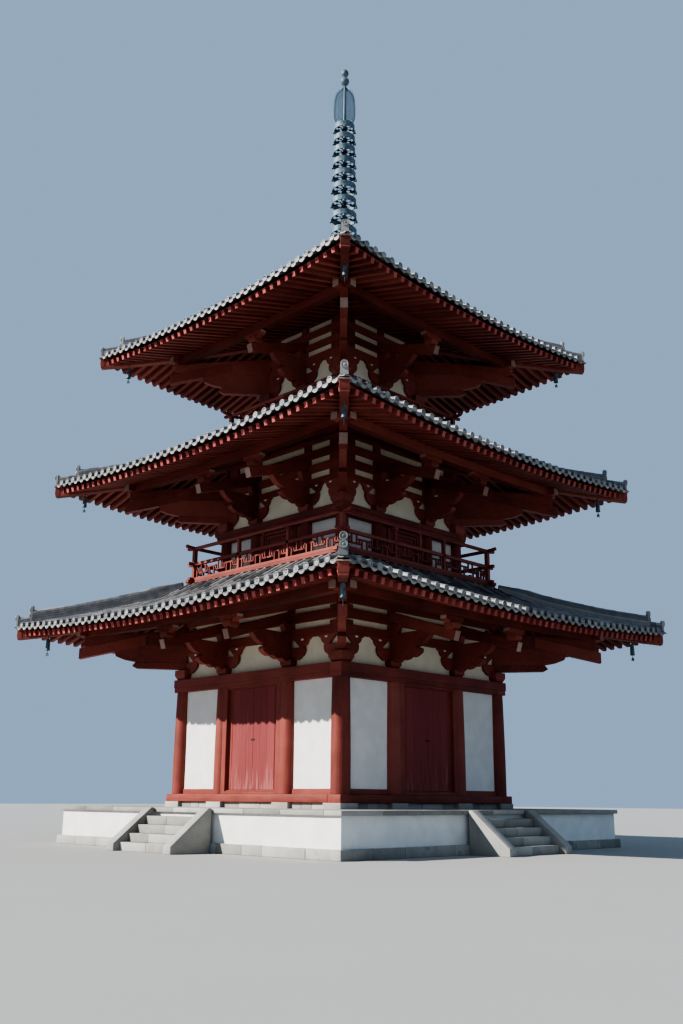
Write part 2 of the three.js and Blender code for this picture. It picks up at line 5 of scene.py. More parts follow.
import bmesh
import bpy
from mathutils import Matrix, Vector


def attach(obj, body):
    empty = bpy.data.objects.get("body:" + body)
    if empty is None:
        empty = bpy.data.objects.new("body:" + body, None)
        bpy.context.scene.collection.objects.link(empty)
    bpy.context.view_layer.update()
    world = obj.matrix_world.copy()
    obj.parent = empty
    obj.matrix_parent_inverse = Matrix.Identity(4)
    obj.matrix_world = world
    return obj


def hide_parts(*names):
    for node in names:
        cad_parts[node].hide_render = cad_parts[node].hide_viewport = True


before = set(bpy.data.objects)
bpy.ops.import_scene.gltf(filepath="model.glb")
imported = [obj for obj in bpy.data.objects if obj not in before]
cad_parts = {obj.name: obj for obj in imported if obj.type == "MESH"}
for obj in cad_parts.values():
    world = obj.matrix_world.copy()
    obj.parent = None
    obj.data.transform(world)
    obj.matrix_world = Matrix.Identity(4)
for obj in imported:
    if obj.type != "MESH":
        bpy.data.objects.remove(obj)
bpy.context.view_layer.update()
scene = bpy.context.scene
dice = random.Random(11)
body = "pagoda"
sides = ["front", "right", "back", "left"]
diagonal = math.sqrt(2)

# camera, fitted to the view from the ground
view = {"distance": 29.951, "height": 1.227, "azimuth": math.pi / 4 - 0.0051, "pitch": 0.2721,
        "roll": 0.0077, "lens": 36.19, "sensor": 36, "sight": 500}


def placeCamera():
    a, p, r = view["azimuth"], view["pitch"], view["roll"]
    forward = Vector((-math.sin(a) * math.cos(p), math.cos(a) * math.cos(p), math.sin(p)))
    right = Vector((math.cos(a), math.sin(a), 0))
    up = right.cross(forward)
    x = math.cos(r) * right + math.sin(r) * up
    y = math.cos(r) * up - math.sin(r) * right
    data = bpy.data.cameras.new("camera")
    data.lens, data.sensor_width, data.clip_end = view["lens"], view["sensor"], view["sight"]
    camera = bpy.data.objects.new("camera", data)
    place = Matrix((x, y, -forward)).transposed().to_4x4()
    place.translation = (math.sin(a) * view["distance"], -math.cos(a) * view["distance"], view["height"])
    camera.matrix_world = place
    scene.collection.objects.link(camera)
    scene.camera = camera


placeCamera()
print("camera placed")

# sizes shared by the pieces; heights in a storey count from the podium's top
podiumTop = 1.0
storeys = [
    {"wall": 3.15, "columns": [-3.15, -1.313, 1.313, 3.15], "headBottom": 3.134, "headTop": 3.49,
     "headStep": 0.225, "headBack": 2.98, "bell": 4.22, "strips": [(4.465, 4.624), (4.877, 5.016)],
     "pilaster": 0, "tail": 4.13, "purlinOut": 2.05, "armReach": 0.83, "eave": 6.56, "eaveBottom": 4.46,
     "slope": 0.31, "corner": 6.64, "ridgeHead": 3.30, "ridgeEnd": 6.37, "rafters": 49, "tileRows": 43,
     "roof": [(6.76, 4.815), (5.4, 5.29), (4.1, 5.79), (3.2, 6.33), (2.15, 6.33)]},
    {"wall": 2.408, "columns": [-2.408, -1.06, 1.06, 2.408], "headBottom": 7.54, "headTop": 7.851,
     "headStep": 0.16, "headBack": 2.39, "bell": 8.605, "pilaster": 0.45,
     "strips": [(8.785, 8.968), (9.198, 9.38), (9.61, 9.815)],
     "tail": 8.52, "purlinOut": 2.0, "armReach": 0.69, "eave": 6.03, "eaveBottom": 8.79, "slope": 0.32,
     "corner": 6.11, "ridgeHead": 2.64, "ridgeEnd": 5.65, "rafters": 43, "tileRows": 39,
     "roof": [(6.19, 9.15), (4.9, 9.58), (3.5, 10.08), (2.54, 10.58), (1.38, 10.58)],
     "floor": 7.3303, "railHalf": 3.08, "railPosts": [-1.03, 1.03], "doorHalf": 0.56},
    {"wall": 1.605, "columns": [-1.605, 0, 1.605], "headBottom": 11.7, "headTop": 11.985,
     "headStep": 0.145, "headBack": 1.587, "bell": 12.79, "pilaster": 0.45,
     "strips": [(13.053, 13.237), (13.449, 13.635), (13.845, 14.03)],
     "tail": 12.7, "purlinOut": 2.0, "armReach": 0.77, "eave": 5.28, "eaveBottom": 13.01, "slope": 0.285,
     "corner": 5.355, "ridgeHead": 0.62, "ridgeEnd": 4.89, "rafters": 37, "tileRows": 35,
     "roof": [(5.43, 13.37), (4.2, 13.96), (2.8, 14.78), (1.5, 15.72), (0.68, 16.45)],
     "floor": 11.5803, "railHalf": 2.42, "railPosts": [-0.81, 0.81], "doorHalf": 0},
]
upturn, rafterDepth, timberFace, timberBack, plasterBack, tailOut = 0.27, 0.15, 0.06, 0.0195, -0.12, 2.2

# what follows from them: heights above the ground, distances out from the middle, and the bracket's depth
for s in storeys:
    s["base"], s["depth"] = podiumTop + s["headTop"], s["bell"] - s["headTop"]
    s["face"], s["back"] = s["wall"] + timberFace, s["wall"] - timberBack
    s["purlin"], s["reach"] = s["wall"] + s["purlinOut"], s["wall"] + tailOut
    s["tailLevel"] = podiumTop + s["tail"]


def eaveRise(storey, u, v, inner):
    out = max(0.0, (v - inner) / (storey["eave"] - inner))
    return upturn * (u / storey["eave"]) ** 2 * out


def rafterUnderside(storey, u, v):
    level = podiumTop + storey["eaveBottom"] + storey["slope"] * (storey["eave"] - v)
    return level + eaveRise(storey, u, v, storey["wall"] + plasterBack)


# crown of the tiles, along straight runs between the roof's measured points
def tileCrown(storey, u, v):
    roof = storey["roof"]
    k = 0
    while k < len(roof) - 2 and v < roof[k + 1][0]:
        k += 1
    (v0, z0), (v1, z1) = roof[k], roof[k + 1]
    return podiumTop + z0 + (v - v0) * (z1 - z0) / (v1 - v0) + eaveRise(storey, u, v, roof[3][0])


# shaders
class Link:
    # an output socket; arithmetic on it adds Math nodes
    def __init__(self, tree, socket):
        self.tree, self.socket = tree, socket

    def math(self, operation, *terms):
        node = self.tree.nodes.new("ShaderNodeMath")
        node.operation = operation
        for slot, term in zip(node.inputs, terms):
            plug(self.tree, slot, term)
        return Link(self.tree, node.outputs[0])

    def __add__(self, other):
        return self.math("ADD", self, other)

    def __sub__(self, other):
        return self.math("SUBTRACT", self, other)

    def __rsub__(self, other):
        return self.math("SUBTRACT", other, self)

    def __mul__(self, other):
        return self.math("MULTIPLY", self, other)

    __radd__ = __add__
    __rmul__ = __mul__


def plug(tree, slot, value):
    if isinstance(value, Link):
        tree.links.new(value.socket, slot)
    else:
        slot.default_value = value


class Finish:
    # a material whose patterns read Object coordinates
    def __init__(self, name, **fixed):
        self.material = bpy.data.materials.new(name)
        self.material.use_nodes = True
        self.tree = self.material.node_tree
        self.shader = self.tree.nodes["Principled BSDF"]
        for socket, value in fixed.items():
            self.shader.inputs[socket.replace("_", " ")].default_value = value
        self.place = self.node("ShaderNodeTexCoord", out=3)

    # settings first, then the sockets by name
    def node(self, kind, settings=None, out=0, **sockets):
        node = self.tree.nodes.new(kind)
        for key, value in (settings or {}).items():
            if key == "stops":
                while len(node.color_ramp.elements) < len(value):
                    node.color_ramp.elements.new(0.5)
                for element, (place, tone) in zip(node.color_ramp.elements, value):
                    element.position, element.color = place, (*tone, 1)
            else:
                setattr(node, key, value)
        for socket, value in sockets.items():
            plug(self.tree, node.inputs[socket.replace("_", " ")], value)
        return Link(self.tree, node.outputs[out])

    def mix(self, factor, a, b, blend="MIX"):
        node = self.tree.nodes.new("ShaderNodeMix")
        node.data_type, node.blend_type = "RGBA", blend
        for slot, value in zip((0, 6, 7), (factor, a, b)):
            plug(self.tree, node.inputs[slot], (*value, 1) if isinstance(value, tuple) else value)
        return Link(self.tree, node.outputs[2])

    def noise(self, scale, detail=4, rough=0.55, stretch=None, turn=(0, 0, 0)):
        place = self.place
        if stretch:
            place = self.node("ShaderNodeMapping", Vector=place, Rotation=turn, Scale=stretch)
        return self.node("ShaderNodeTexNoise", Vector=place, Scale=scale, Detail=detail, Roughness=rough)

    # a tone of its own for each loose member
    def island(self):
        return self.node("ShaderNodeNewGeometry", out=8)

    def height(self):
        return self.node("ShaderNodeSeparateXYZ", out=2, Vector=self.place)

    def ramp(self, factor, *stops):
        return self.node("ShaderNodeValToRGB", {"stops": stops}, Fac=factor)

    def steps(self, value, low, high, toLow=0.0, toHigh=1.0):
        return self.node("ShaderNodeMapRange", {"interpolation_type": "SMOOTHSTEP"}, Value=value,
                         From_Min=low, From_Max=high, To_Min=toLow, To_Max=toHigh)

    def feed(self, colour, roughness, height=None, depth=0.002, strength=0.5):
        plug(self.tree, self.shader.inputs["Base Color"], colour)
        plug(self.tree, self.shader.inputs["Roughness"], roughness)
        if height is not None:
            bump = self.node("ShaderNodeBump", Strength=strength, Distance=depth, Height=height)
            plug(self.tree, self.shader.inputs["Normal"], bump)
        return self.material


# red-ochre paint on old timber, its grain drawn out along the member
timberLook = {"dark": (0.10, 0.026, 0.020), "paint": (0.25, 0.058, 0.043), "faded": (0.37, 0.112, 0.086),
              "grain": 26, "patches": 0.9, "flecks": 38, "depth": 0.0016}


def timberFinish(name, stretch, look=timberLook):
    f = Finish(name, Specular_IOR_Level=0.35)
    grain = f.noise(look["grain"], 5, 0.6, stretch)
    patches = f.noise(look["patches"], 5, 0.6)
    flecks = f.noise(look["flecks"], 2, 0.5, tuple(s * 2.2 for s in stretch))
    base = f.ramp(grain * 0.34 + patches * 0.46 + f.island() * 0.26,
                  (0.30, look["dark"]), (0.52, look["paint"]), (0.80, look["faded"]))
    worn = f.steps(flecks + patches * 0.5, 0.86, 1.05)
    colour = f.mix(worn * 0.55, base, look["faded"])
    return f.feed(colour, 0.5 + grain * 0.25 + worn * 0.12, grain + flecks * 0.4, look["depth"], 0.55)


timbers = [timberFinish("timber_along_x", (0.05, 1, 1)), timberFinish("timber_along_y", (1, 0.05, 1)),
           timberFinish("timber_upright", (1, 1, 0.045)), timberFinish("timber_slanting", (0.5, 0.5, 0.5))]

# end grain, painted lighter and chalky: its darkest and its lightest tone
endLook = {"rafter_end": ((0.29, 0.066, 0.060), (0.50, 0.135, 0.13)),
           "pale_end": ((0.28, 0.17, 0.14), (0.47, 0.35, 0.31))}


def endFinish(name, look=endLook):
    f = Finish(name, Specular_IOR_Level=0.3)
    chips = f.noise(22, 5, 0.65)
    low, high = look[name]
    colour = f.ramp(chips * 0.6 + f.island() * 0.4, (0.25, low), (0.7, high))
    return f.feed(colour, 0.75 + chips * 0.15, chips, 0.0015, 0.4)


rafterEnd, paleEnd = endFinish("rafter_end"), endFinish("pale_end")

# lime plaster: trowel waves and faint stains; between the brackets it is tinted warmer, partly a creamier
# plaster and partly painted warm bounce light off the red timber
plasterLook = {"clean": (0.82, 0.805, 0.77), "stain": (0.60, 0.59, 0.555), "shade": (0.75, 0.74, 0.71),
               "creamAndBounceWarmth": (1.0, 0.96, 0.80)}


def plasterFinish(name, bounceWarmthAbove=None, look=plasterLook):
    f = Finish(name, Specular_IOR_Level=0.2)
    waves, sand = f.noise(2.2, 5, 0.55), f.noise(160, 2, 0.5)
    runs = f.noise(3.0, 5, 0.6, (1.6, 1.6, 0.5), (0.6, 0.6, 0.4))
    base = f.mix(f.steps(waves, 0.35, 0.7), look["shade"], look["clean"])
    colour = f.mix(f.steps(runs, 0.55, 0.8) * 0.38, base, look["stain"])
    # above the head beams the colour is multiplied by a warm tint: partly cream plaster, partly painted warm
    # bounce light
    if bounceWarmthAbove:
        above = f.steps(f.height(), bounceWarmthAbove - 0.02, bounceWarmthAbove + 0.02)
        colour = f.mix(above, colour, look["creamAndBounceWarmth"], "MULTIPLY")
    return f.feed(colour, 0.82 + sand * 0.1, waves * 0.8 + sand * 0.12, 0.004, 0.35)


plaster = plasterFinish("lime_plaster")

# smoked clay tile: each tile its own grey, silvery skin, dark lichen specks, paler eave ends
tileLook = {"dark": (0.055, 0.060, 0.068), "mid": (0.165, 0.163, 0.168), "pale": (0.36, 0.35, 0.335),
            "lichen": (0.05, 0.055, 0.045), "frontPale": (0.36, 0.348, 0.322), "frontLift": 0.22}


def tileFinish(name, pale, lift=0.0, look=tileLook):
    f = Finish(name, Specular_IOR_Level=0.55)
    smoke, specks = f.noise(5.5, 5, 0.6), f.noise(60, 3, 0.6)
    base = f.ramp(f.island() * 0.5 + smoke * 0.5 + lift,
                  (0.2, look["dark"]), (0.5, look["mid"]), (0.85, pale))
    lichen = f.steps(specks + smoke * 0.25, 0.72, 0.85)
    colour = f.mix(lichen * 0.55, base, look["lichen"])
    return f.feed(colour, 0.36 + smoke * 0.22 + lichen * 0.2, specks + smoke, 0.0018, 0.45)


tile = tileFinish("smoked_tile", tileLook["pale"])
tileFront = tileFinish("tile_front", tileLook["frontPale"], tileLook["frontLift"])

# granite: fine crystals, weather stains and moss in patches
stoneLook = {"dark": (0.16, 0.15, 0.135), "mid": (0.36, 0.345, 0.315), "pale": (0.55, 0.53, 0.49),
             "moss": (0.10, 0.105, 0.07)}


def stoneFinish(name, mossy, look=stoneLook):
    f = Finish(name, Specular_IOR_Level=0.3)
    crystals, weather = f.noise(190, 2, 0.6), f.noise(1.7, 6, 0.62)
    base = f.ramp(crystals * 0.35 + weather * 0.4 + f.island() * 0.25,
                  (0.25, look["dark"]), (0.5, look["mid"]), (0.78, look["pale"]))
    moss = f.steps(weather - crystals * 0.2, 0.46, 0.62)
    colour = f.mix(moss * mossy, base, look["moss"])
    return f.feed(colour, 0.74 + crystals * 0.16, crystals * 0.5 + weather, 0.004, 0.5)


stone, baseStone = stoneFinish("dressed_granite", 0.35), stoneFinish("base_stone", 0.6)

# old bronze: pale blue-green skin over dark metal, which starts at a share of the crust
bronzeLook = {"metal": (0.024, 0.032, 0.04), "green": (0.088, 0.135, 0.165), "bloom": (0.22, 0.29, 0.335)}


def bronzeFinish(name, low, look=bronzeLook):
    f = Finish(name, Specular_IOR_Level=0.5)
    crust = f.noise(9, 6, 0.65)
    runs = f.noise(5, 4, 0.6, (3, 3, 0.4))
    skin = f.ramp(crust * 0.6 + runs * 0.4, (low, look["metal"]), (low + 0.16, look["green"]),
                  (low + 0.38, look["bloom"]))
    plug(f.tree, f.shader.inputs["Metallic"], f.steps(crust, 0.3, 0.55, 0.55, 0.08))
    return f.feed(skin, 0.45 + crust * 0.3, crust, 0.002, 0.4)


bronze, darkBronze = bronzeFinish("old_bronze", 0.3), bronzeFinish("dark_bronze", 0.5)

# door boards: rain-worn streaks that grow towards the foot
doorLook = {"dark": (0.22, 0.042, 0.042), "paint": (0.33, 0.074, 0.070), "worn": (0.44, 0.20, 0.18),
            "rainFrom": 2.5, "rainTo": 1.4}


def doorFinish(name, look=doorLook):
    f = Finish(name, Specular_IOR_Level=0.35)
    grain = f.noise(30, 5, 0.6, (1, 1, 0.03))
    streaks = f.noise(15, 4, 0.7, (1, 1, 0.06))
    base = f.ramp(grain * 0.45 + f.island() * 0.2 + streaks * 0.25,
                  (0.3, look["dark"]), (0.65, look["paint"]))
    low = f.steps(f.height(), look["rainTo"], look["rainFrom"], 1.0, 0.0)
    worn = f.steps(streaks + low * 0.2, 0.64, 0.8)
    return f.feed(f.mix(worn * 0.45, base, look["worn"]), 0.55 + grain * 0.2, grain, 0.001, 0.4)


doorBoard = doorFinish("door_board")

ironLook = {"black": (0.02, 0.02, 0.02), "rust": (0.07, 0.05, 0.04)}


def ironFinish(name, look=ironLook):
    f = Finish(name, Metallic=0.6)
    grain = f.noise(50)
    return f.feed(f.mix(grain, look["black"], look["rust"]), 0.5 + grain * 0.3, grain)


iron = ironFinish("black_iron")
print("finishes made")

# modelling helpers; a finish is a place in its piece's list: the four timbers, then the piece's own
alongX, alongY, upright, slanting, own, secondOwn = range(6)
still = Matrix.Identity(4)
faceFront = Matrix.Rotation(math.pi / 2, 4, "X")
diagonalOut = Matrix.Rotation(-math.pi / 4, 4, "Z")


def quarterTurn(quarter, size=3):
    return Matrix.Rotation(quarter * math.pi / 2, size, "Z")


def axesAt(x, y, at):
    place = Matrix((x, y, x.cross(y))).transposed().to_4x4()
    place.translation = at
    return place


# frames for plates: across the front side, facing out, and along a line out from the middle
def facing(v, u=0.0):
    return Matrix.Translation((u, -v, 0))


def outwards(u):
    return Matrix.Translation((u, 0, 0)) @ Matrix.Rotation(-math.pi / 2, 4, "Z")


def spread(start, end, parts):
    return [start + (end - start) * k / parts for k in range(parts + 1)]


def wholeOf(bm):
    return bm.verts[:] + bm.edges[:] + bm.faces[:]


def vertsOf(geom):
    return [g for g in geom if isinstance(g, bmesh.types.BMVert)]


def facesOf(verts):
    return {face for vert in verts for face in vert.link_faces}


def paint(verts, finish, direction=None, tipFinish=None):
    for face in facesOf(verts):
        isTip = tipFinish is not None and face.normal.dot(direction) > 0.9
        face.material_index = tipFinish if isTip else finish


def box(bm, low, high, finish=0):
    low, high = Vector(low), Vector(high)
    place = Matrix.Translation((low + high) / 2) @ Matrix.Diagonal((*(high - low), 1))
    verts = bmesh.ops.create_cube(bm, size=1, matrix=place)["verts"]
    paint(verts, finish)
    return verts


# a squared member between two points; its far end may have a finish of its own
def bar(bm, start, end, width, height, finish=0, tipFinish=None):
    start, end = Vector(start), Vector(end)
    x = (end - start).normalized()
    side = Vector((0, 0, 1)).cross(x)
    side = side.normalized() if side.length > 1e-4 else Vector((0, 1, 0))
    shape = Matrix.Diagonal(((end - start).length, width, height, 1))
    place = axesAt(x, side, (start + end) / 2) @ shape
    verts = bmesh.ops.create_cube(bm, size=1, matrix=place)["verts"]
    for face in facesOf(verts):
        face.normal_update()
    paint(verts, finish, x, tipFinish)
    return verts


# a member whose square section follows a line of points, kept upright
def bentBar(bm, points, width, height, finish=0, tipFinish=None):
    points = [Vector(p) for p in points]
    x = (points[1] - points[0]).normalized()
    side = Vector((0, 0, 1)).cross(x).normalized() * width / 2
    rise = Vector((0, 0, height / 2))
    verts = [bm.verts.new(points[0] + a * side + b * rise) for a, b in ((-1, -1), (1, -1), (1, 1), (-1, 1))]
    face = bm.faces.new(verts)
    for before, after in zip(points, points[1:]):
        pushed = bmesh.ops.extrude_face_region(bm, geom=[face])["geom"]
        moved = vertsOf(pushed)
        face = next(g for g in pushed if isinstance(g, bmesh.types.BMFace))
        bmesh.ops.translate(bm, verts=moved, vec=after - before)
        verts += moved
    bmesh.ops.recalc_face_normals(bm, faces=list(facesOf(verts)))
    paint(verts, finish)
    if tipFinish is not None:
        for tip in facesOf(verts):
            if abs(tip.normal.z) < 0.5 and abs(tip.normal.dot(x)) > 0.8:
                tip.material_index = tipFinish


# an outline of (a, b) points given a thickness across, then placed
def plate(bm, outline, thickness, place, finish=0):
    verts = [bm.verts.new((a, -thickness / 2, b)) for a, b in outline]
    face = bm.faces.new(verts)
    moved = vertsOf(bmesh.ops.extrude_face_region(bm, geom=[face])["geom"])
    bmesh.ops.translate(bm, verts=moved, vec=(0, thickness, 0))
    verts += moved
    bmesh.ops.recalc_face_normals(bm, faces=list(facesOf(verts)))
    bmesh.ops.transform(bm, matrix=place, verts=verts)
    paint(verts, finish)
    return verts


def keepShape(bm, finish=0):
    for face in bm.faces:
        face.material_index = finish
    mesh = bpy.data.meshes.new("shape")
    bm.to_mesh(mesh)
    bm.free()
    return mesh


# a profile of (radius, height) points turned about z, as a mesh to stamp
def turnedShape(profile, segments, finish=0):
    bm = bmesh.new()
    rim = [bm.verts.new((r, 0, z)) for r, z in profile]
    edges = [bm.edges.new(pair) for pair in zip(rim, rim[1:])]
    bmesh.ops.spin(bm, geom=rim + edges, cent=(0, 0, 0), axis=(0, 0, 1), angle=2 * math.pi,
                   steps=segments, use_merge=True)
    bmesh.ops.remove_doubles(bm, verts=bm.verts[:], dist=1e-5)
    bmesh.ops.recalc_face_normals(bm, faces=bm.faces[:])
    return keepShape(bm, finish)


def stamp(bm, mesh, place=still):
    copy = mesh.copy()
    copy.transform(place)
    bm.from_mesh(copy)
    bpy.data.meshes.remove(copy)


# a part modelled by itself joins its piece, with its finishes
def pour(bm, part):
    mesh = bpy.data.meshes.new("part")
    part.to_mesh(mesh)
    part.free()
    bm.from_mesh(mesh)


# a sheet of one side is mitred at both hips and given its thickness
def mitreSheet(sheet, thickness):
    for hand in (-1, 1):
        bmesh.ops.bisect_plane(sheet, geom=wholeOf(sheet), plane_co=(0, 0, 0), plane_no=(hand, 1, 0),
                               clear_outer=True)
    pushed = bmesh.ops.extrude_face_region(sheet, geom=sheet.faces[:])["geom"]
    bmesh.ops.translate(sheet, verts=vertsOf(pushed), vec=(0, 0, thickness))
    bmesh.ops.recalc_face_normals(sheet, faces=sheet.faces[:])


def bevelSharp(bm, width, segments=1):
    edges = [e for e in bm.edges if e.is_manifold and e.calc_face_angle(0) > math.radians(35)]
    bmesh.ops.bevel(bm, geom=edges, offset=width, segments=segments, profile=0.5, affect="EDGES",
                    material=-1, clamp_overlap=True)


# timber's grain along x and along y change places with each quarter turn
def swapGrain(faces):
    for face in faces:
        if face.material_index in (alongX, alongY):
            face.material_index = alongX + alongY - face.material_index


def aroundFour(bm, grained=True):
    whole = wholeOf(bm)
    for quarter in (1, 2, 3):
        copy = bmesh.ops.duplicate(bm, geom=whole)["geom"]
        bmesh.ops.rotate(bm, verts=vertsOf(copy), cent=(0, 0, 0), matrix=quarterTurn(quarter))
        if grained and quarter % 2:
            swapGrain(g for g in copy if isinstance(g, bmesh.types.BMFace))


def turnQuarter(bm, quarter, grained=True):
    bmesh.ops.rotate(bm, verts=bm.verts[:], cent=(0, 0, 0), matrix=quarterTurn(quarter))
    if grained and quarter % 2:
        swapGrain(bm.faces)


def makePiece(name, bm, finishes, nodes, rider=body, smooth=32):
    for face in bm.faces:
        face.smooth = True
    for edge in bm.edges:
        edge.smooth = edge.calc_face_angle(0) < math.radians(smooth)
    mesh = bpy.data.meshes.new(name)
    bm.to_mesh(mesh)
    bm.free()
    for finish in finishes:
        mesh.materials.append(finish)
    piece = bpy.data.objects.new(name, mesh)
    scene.collection.objects.link(piece)
    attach(piece, rider)
    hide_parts(*nodes)
    print(name, len(mesh.polygons), "faces")


def finishNode(name, finish):
    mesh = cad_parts[name].data
    mesh.materials.clear()
    mesh.materials.append(finish)


# scallops from point to point, each an arc that swells by a share of its chord
def scallops(points, swell, parts=4):
    line = [Vector(points[0])]
    for a, b in zip(points, points[1:]):
        a, b = Vector(a), Vector(b)
        chord = b - a
        out = Vector((chord.y, -chord.x)) * swell
        for k in range(1, parts + 1):
            t = k / parts
            line.append(a + chord * t + out * 4 * t * (1 - t))
    return [tuple(p) for p in line]


# neighbouring stones or boards along a run, their joints wandering a little
def splitRun(start, end, count, wander=0.0):
    marks = spread(start, end, count)
    for k in range(1, count):
        marks[k] += dice.uniform(-wander, wander) * (end - start) / count
    return list(zip(marks, marks[1:]))


# podium: granite kerbs round plastered faces, paving on top
podium = {"copingHalf": 5.512, "copingThick": 0.106, "copingDepth": 0.52, "copingStones": 8, "faceHalf": 5.43,
          "baseHalf": 5.54, "baseTop": 0.227, "baseStones": 11, "baseDepth": 0.3, "pad": 0.3, "padTop": 1.142,
          "bedded": 0.05, "flags": 10, "flagThick": 0.12, "joint": 0.006, "footing": 3.35, "worn": 0.012}


def buildPodium(p=podium):
    bm = bmesh.new()
    gap, coping, base, pad = p["joint"] / 2, p["copingHalf"], p["baseHalf"], p["pad"]
    inner = coping - p["copingDepth"]
    for u0, u1 in splitRun(-coping, inner, p["copingStones"], 0.08):
        box(bm, (u0 + gap, -coping, podiumTop - p["copingThick"]), (u1 - gap, -inner, podiumTop))
    for u0, u1 in splitRun(-base, base - p["baseDepth"], p["baseStones"], 0.22):
        box(bm, (u0 + gap, -base + dice.uniform(0, 0.012), 0),
            (u1 - gap, -base + p["baseDepth"], p["baseTop"] - dice.uniform(0, 0.008)), 1)
    v, columns, bed = storeys[0]["wall"], storeys[0]["columns"], podiumTop - p["bedded"]
    for u in columns[1:]:
        box(bm, (u - pad, -v - pad, bed), (u + pad, -v + pad, p["padTop"]))
    # footing stones under the sill, from pad to pad
    for a, c in zip(columns, columns[1:]):
        for u0, u1 in splitRun(a + pad, c - pad, 3, 0.2):
            box(bm, (u0 + gap, -p["footing"] + dice.uniform(0, 0.02), bed),
                (u1 - gap, -v + pad, p["padTop"] - dice.uniform(0.001, 0.006)))
    bevelSharp(bm, p["worn"], segments=2)
    aroundFour(bm, grained=False)
    paving = bmesh.new()
    runs = splitRun(-inner, inner, p["flags"])
    for u0, u1 in runs:
        for v0, v1 in runs:
            box(paving, (u0 + gap, v0 + gap, podiumTop - p["flagThick"]),
                (u1 - gap, v1 - gap, podiumTop - 0.004))
    bevelSharp(paving, p["worn"] / 2)
    pour(bm, paving)
    h = p["faceHalf"]
    box(bm, (-h, -h, 0.02), (h, h, podiumTop - 0.07), 2)
    makePiece("podium_stonework", bm, [stone, baseStone, plaster], ["stone_podium"])


buildPodium()

stair = {"count": 5, "tread": 0.24, "half": 1.0, "wing": 0.28, "start": 5.5403, "joint": 0.006, "toe": 0.17,
         "head": 0.09, "worn": 0.012}


def buildSteps(side, quarter, s=stair):
    bm = bmesh.new()
    rise, start, half = podiumTop / s["count"], s["start"], s["half"]
    for k in range(1, s["count"]):
        top = podiumTop - k * rise
        foot = top - rise + (0.002 if k < s["count"] - 1 else 0)
        cut = dice.uniform(-0.25, 0.25)
        for u0, u1 in ((-half, cut - s["joint"] / 2), (cut + s["joint"] / 2, half)):
            box(bm, (u0, -start - k * s["tread"], foot), (u1, -start, top))
    run = start + s["count"] * s["tread"] - 0.06
    outline = [(start, 0), (run, 0), (run, s["toe"]), (start + s["head"], podiumTop), (start, podiumTop)]
    for hand in (-1, 1):
        plate(bm, outline, s["wing"], outwards(hand * (half + s["wing"] / 2)))
    bevelSharp(bm, s["worn"], segments=2)
    turnQuarter(bm, quarter, grained=False)
    makePiece(side + "_stone_steps", bm, [stone], [side + "_steps"])


for quarter, side in enumerate(sides):
    buildSteps(side, quarter)

# ground storey: sill, columns, doorways; stop is the height of the stops at threshold and lintel
ground = {"sillOuter": 3.43, "sillInner": 2.99, "sillBottom": 1.142, "sillTop": 1.339, "footRadius": 0.245,
          "headRadius": 0.22, "columnTop": 4.134, "railTop": 1.47, "rail": 0.18, "doorHalf": 0.865,
          "threshold": 1.44, "lintel": 4.066, "front": 3.34, "back": 3.08, "stop": 0.03}


def columnShape(foot, head, low, high, segments=32):
    span = high - low
    profile = [(0, low), (foot - 0.006, low), (foot, low + 0.008), (foot, low + 0.35 * span)]
    for t in (0.5, 0.65, 0.8, 0.92):
        profile.append((foot + (head - foot) * ((t - 0.35) / 0.65) ** 1.3, low + t * span))
    profile += [(head, high - 0.006), (head - 0.006, high), (0, high)]
    return turnedShape(profile, segments, upright)


def groundColumn(bm, u, g=ground):
    shape = columnShape(g["footRadius"], g["headRadius"], g["sillTop"], g["columnTop"])
    stamp(bm, shape, facing(storeys[0]["wall"], u))


def buildSill(g=ground):
    bm = bmesh.new()
    middle = (g["sillOuter"] + g["sillInner"]) / 2
    level = (g["sillBottom"] + g["sillTop"]) / 2
    bar(bm, (-g["sillOuter"], -middle, level), (g["sillInner"] - 0.002, -middle, level),
        g["sillOuter"] - g["sillInner"], g["sillTop"] - g["sillBottom"], alongX)
    bevelSharp(bm, 0.014, segments=2)
    aroundFour(bm)
    makePiece("ground_sill_beams", bm, timbers, ["ground_sill"])


def buildDoorway(side, quarter, g=ground):
    bm = bmesh.new()
    v, door = storeys[0]["wall"], storeys[0]["columns"][2]
    half, front, low, high = g["doorHalf"], g["front"], g["sillTop"], g["columnTop"]
    inner, outer, level = half + 0.06, half + 0.135, (low + g["railTop"]) / 2
    for hand in (-1, 1):
        # outer post, two stops stepping back behind it, and the low rail to the corner
        for u0, u1, plane in ((outer, door - 0.06, front), (inner, outer + 0.01, front - 0.04),
                              (half, inner + 0.01, front - 0.07)):
            u, middle = hand * (u0 + u1) / 2, -(plane + g["back"]) / 2
            bar(bm, (u, middle, low), (u, middle, high), u1 - u0, plane - g["back"], upright)
        bar(bm, (hand * (door + 0.1), -v, level), (hand * (v - 0.15), -v, level), g["rail"],
            g["railTop"] - low, alongX)
    for z0, z1, plane in ((low, g["threshold"] - g["stop"], front),
                          (g["threshold"] - g["stop"], g["threshold"], front - 0.045),
                          (g["lintel"] + g["stop"], high, front - 0.01),
                          (g["lintel"], g["lintel"] + g["stop"], front - 0.05)):
        middle, level = -(plane + g["back"]) / 2, (z0 + z1) / 2
        bar(bm, (-outer - 0.02, middle, level), (outer + 0.02, middle, level), plane - g["back"] - 0.001,
            z1 - z0, alongX)
    bevelSharp(bm, 0.007)
    for hand in (-1, 1):
        groundColumn(bm, hand * door)
    turnQuarter(bm, quarter)
    makePiece(side + "_doorway", bm, timbers, [side + "_doorway_frame"])


def buildCornerColumn(side, quarter):
    bm = bmesh.new()
    groundColumn(bm, storeys[0]["wall"])
    turnQuarter(bm, quarter)
    makePiece(side + "_corner_column", bm, timbers, [side + "_corner_post"])


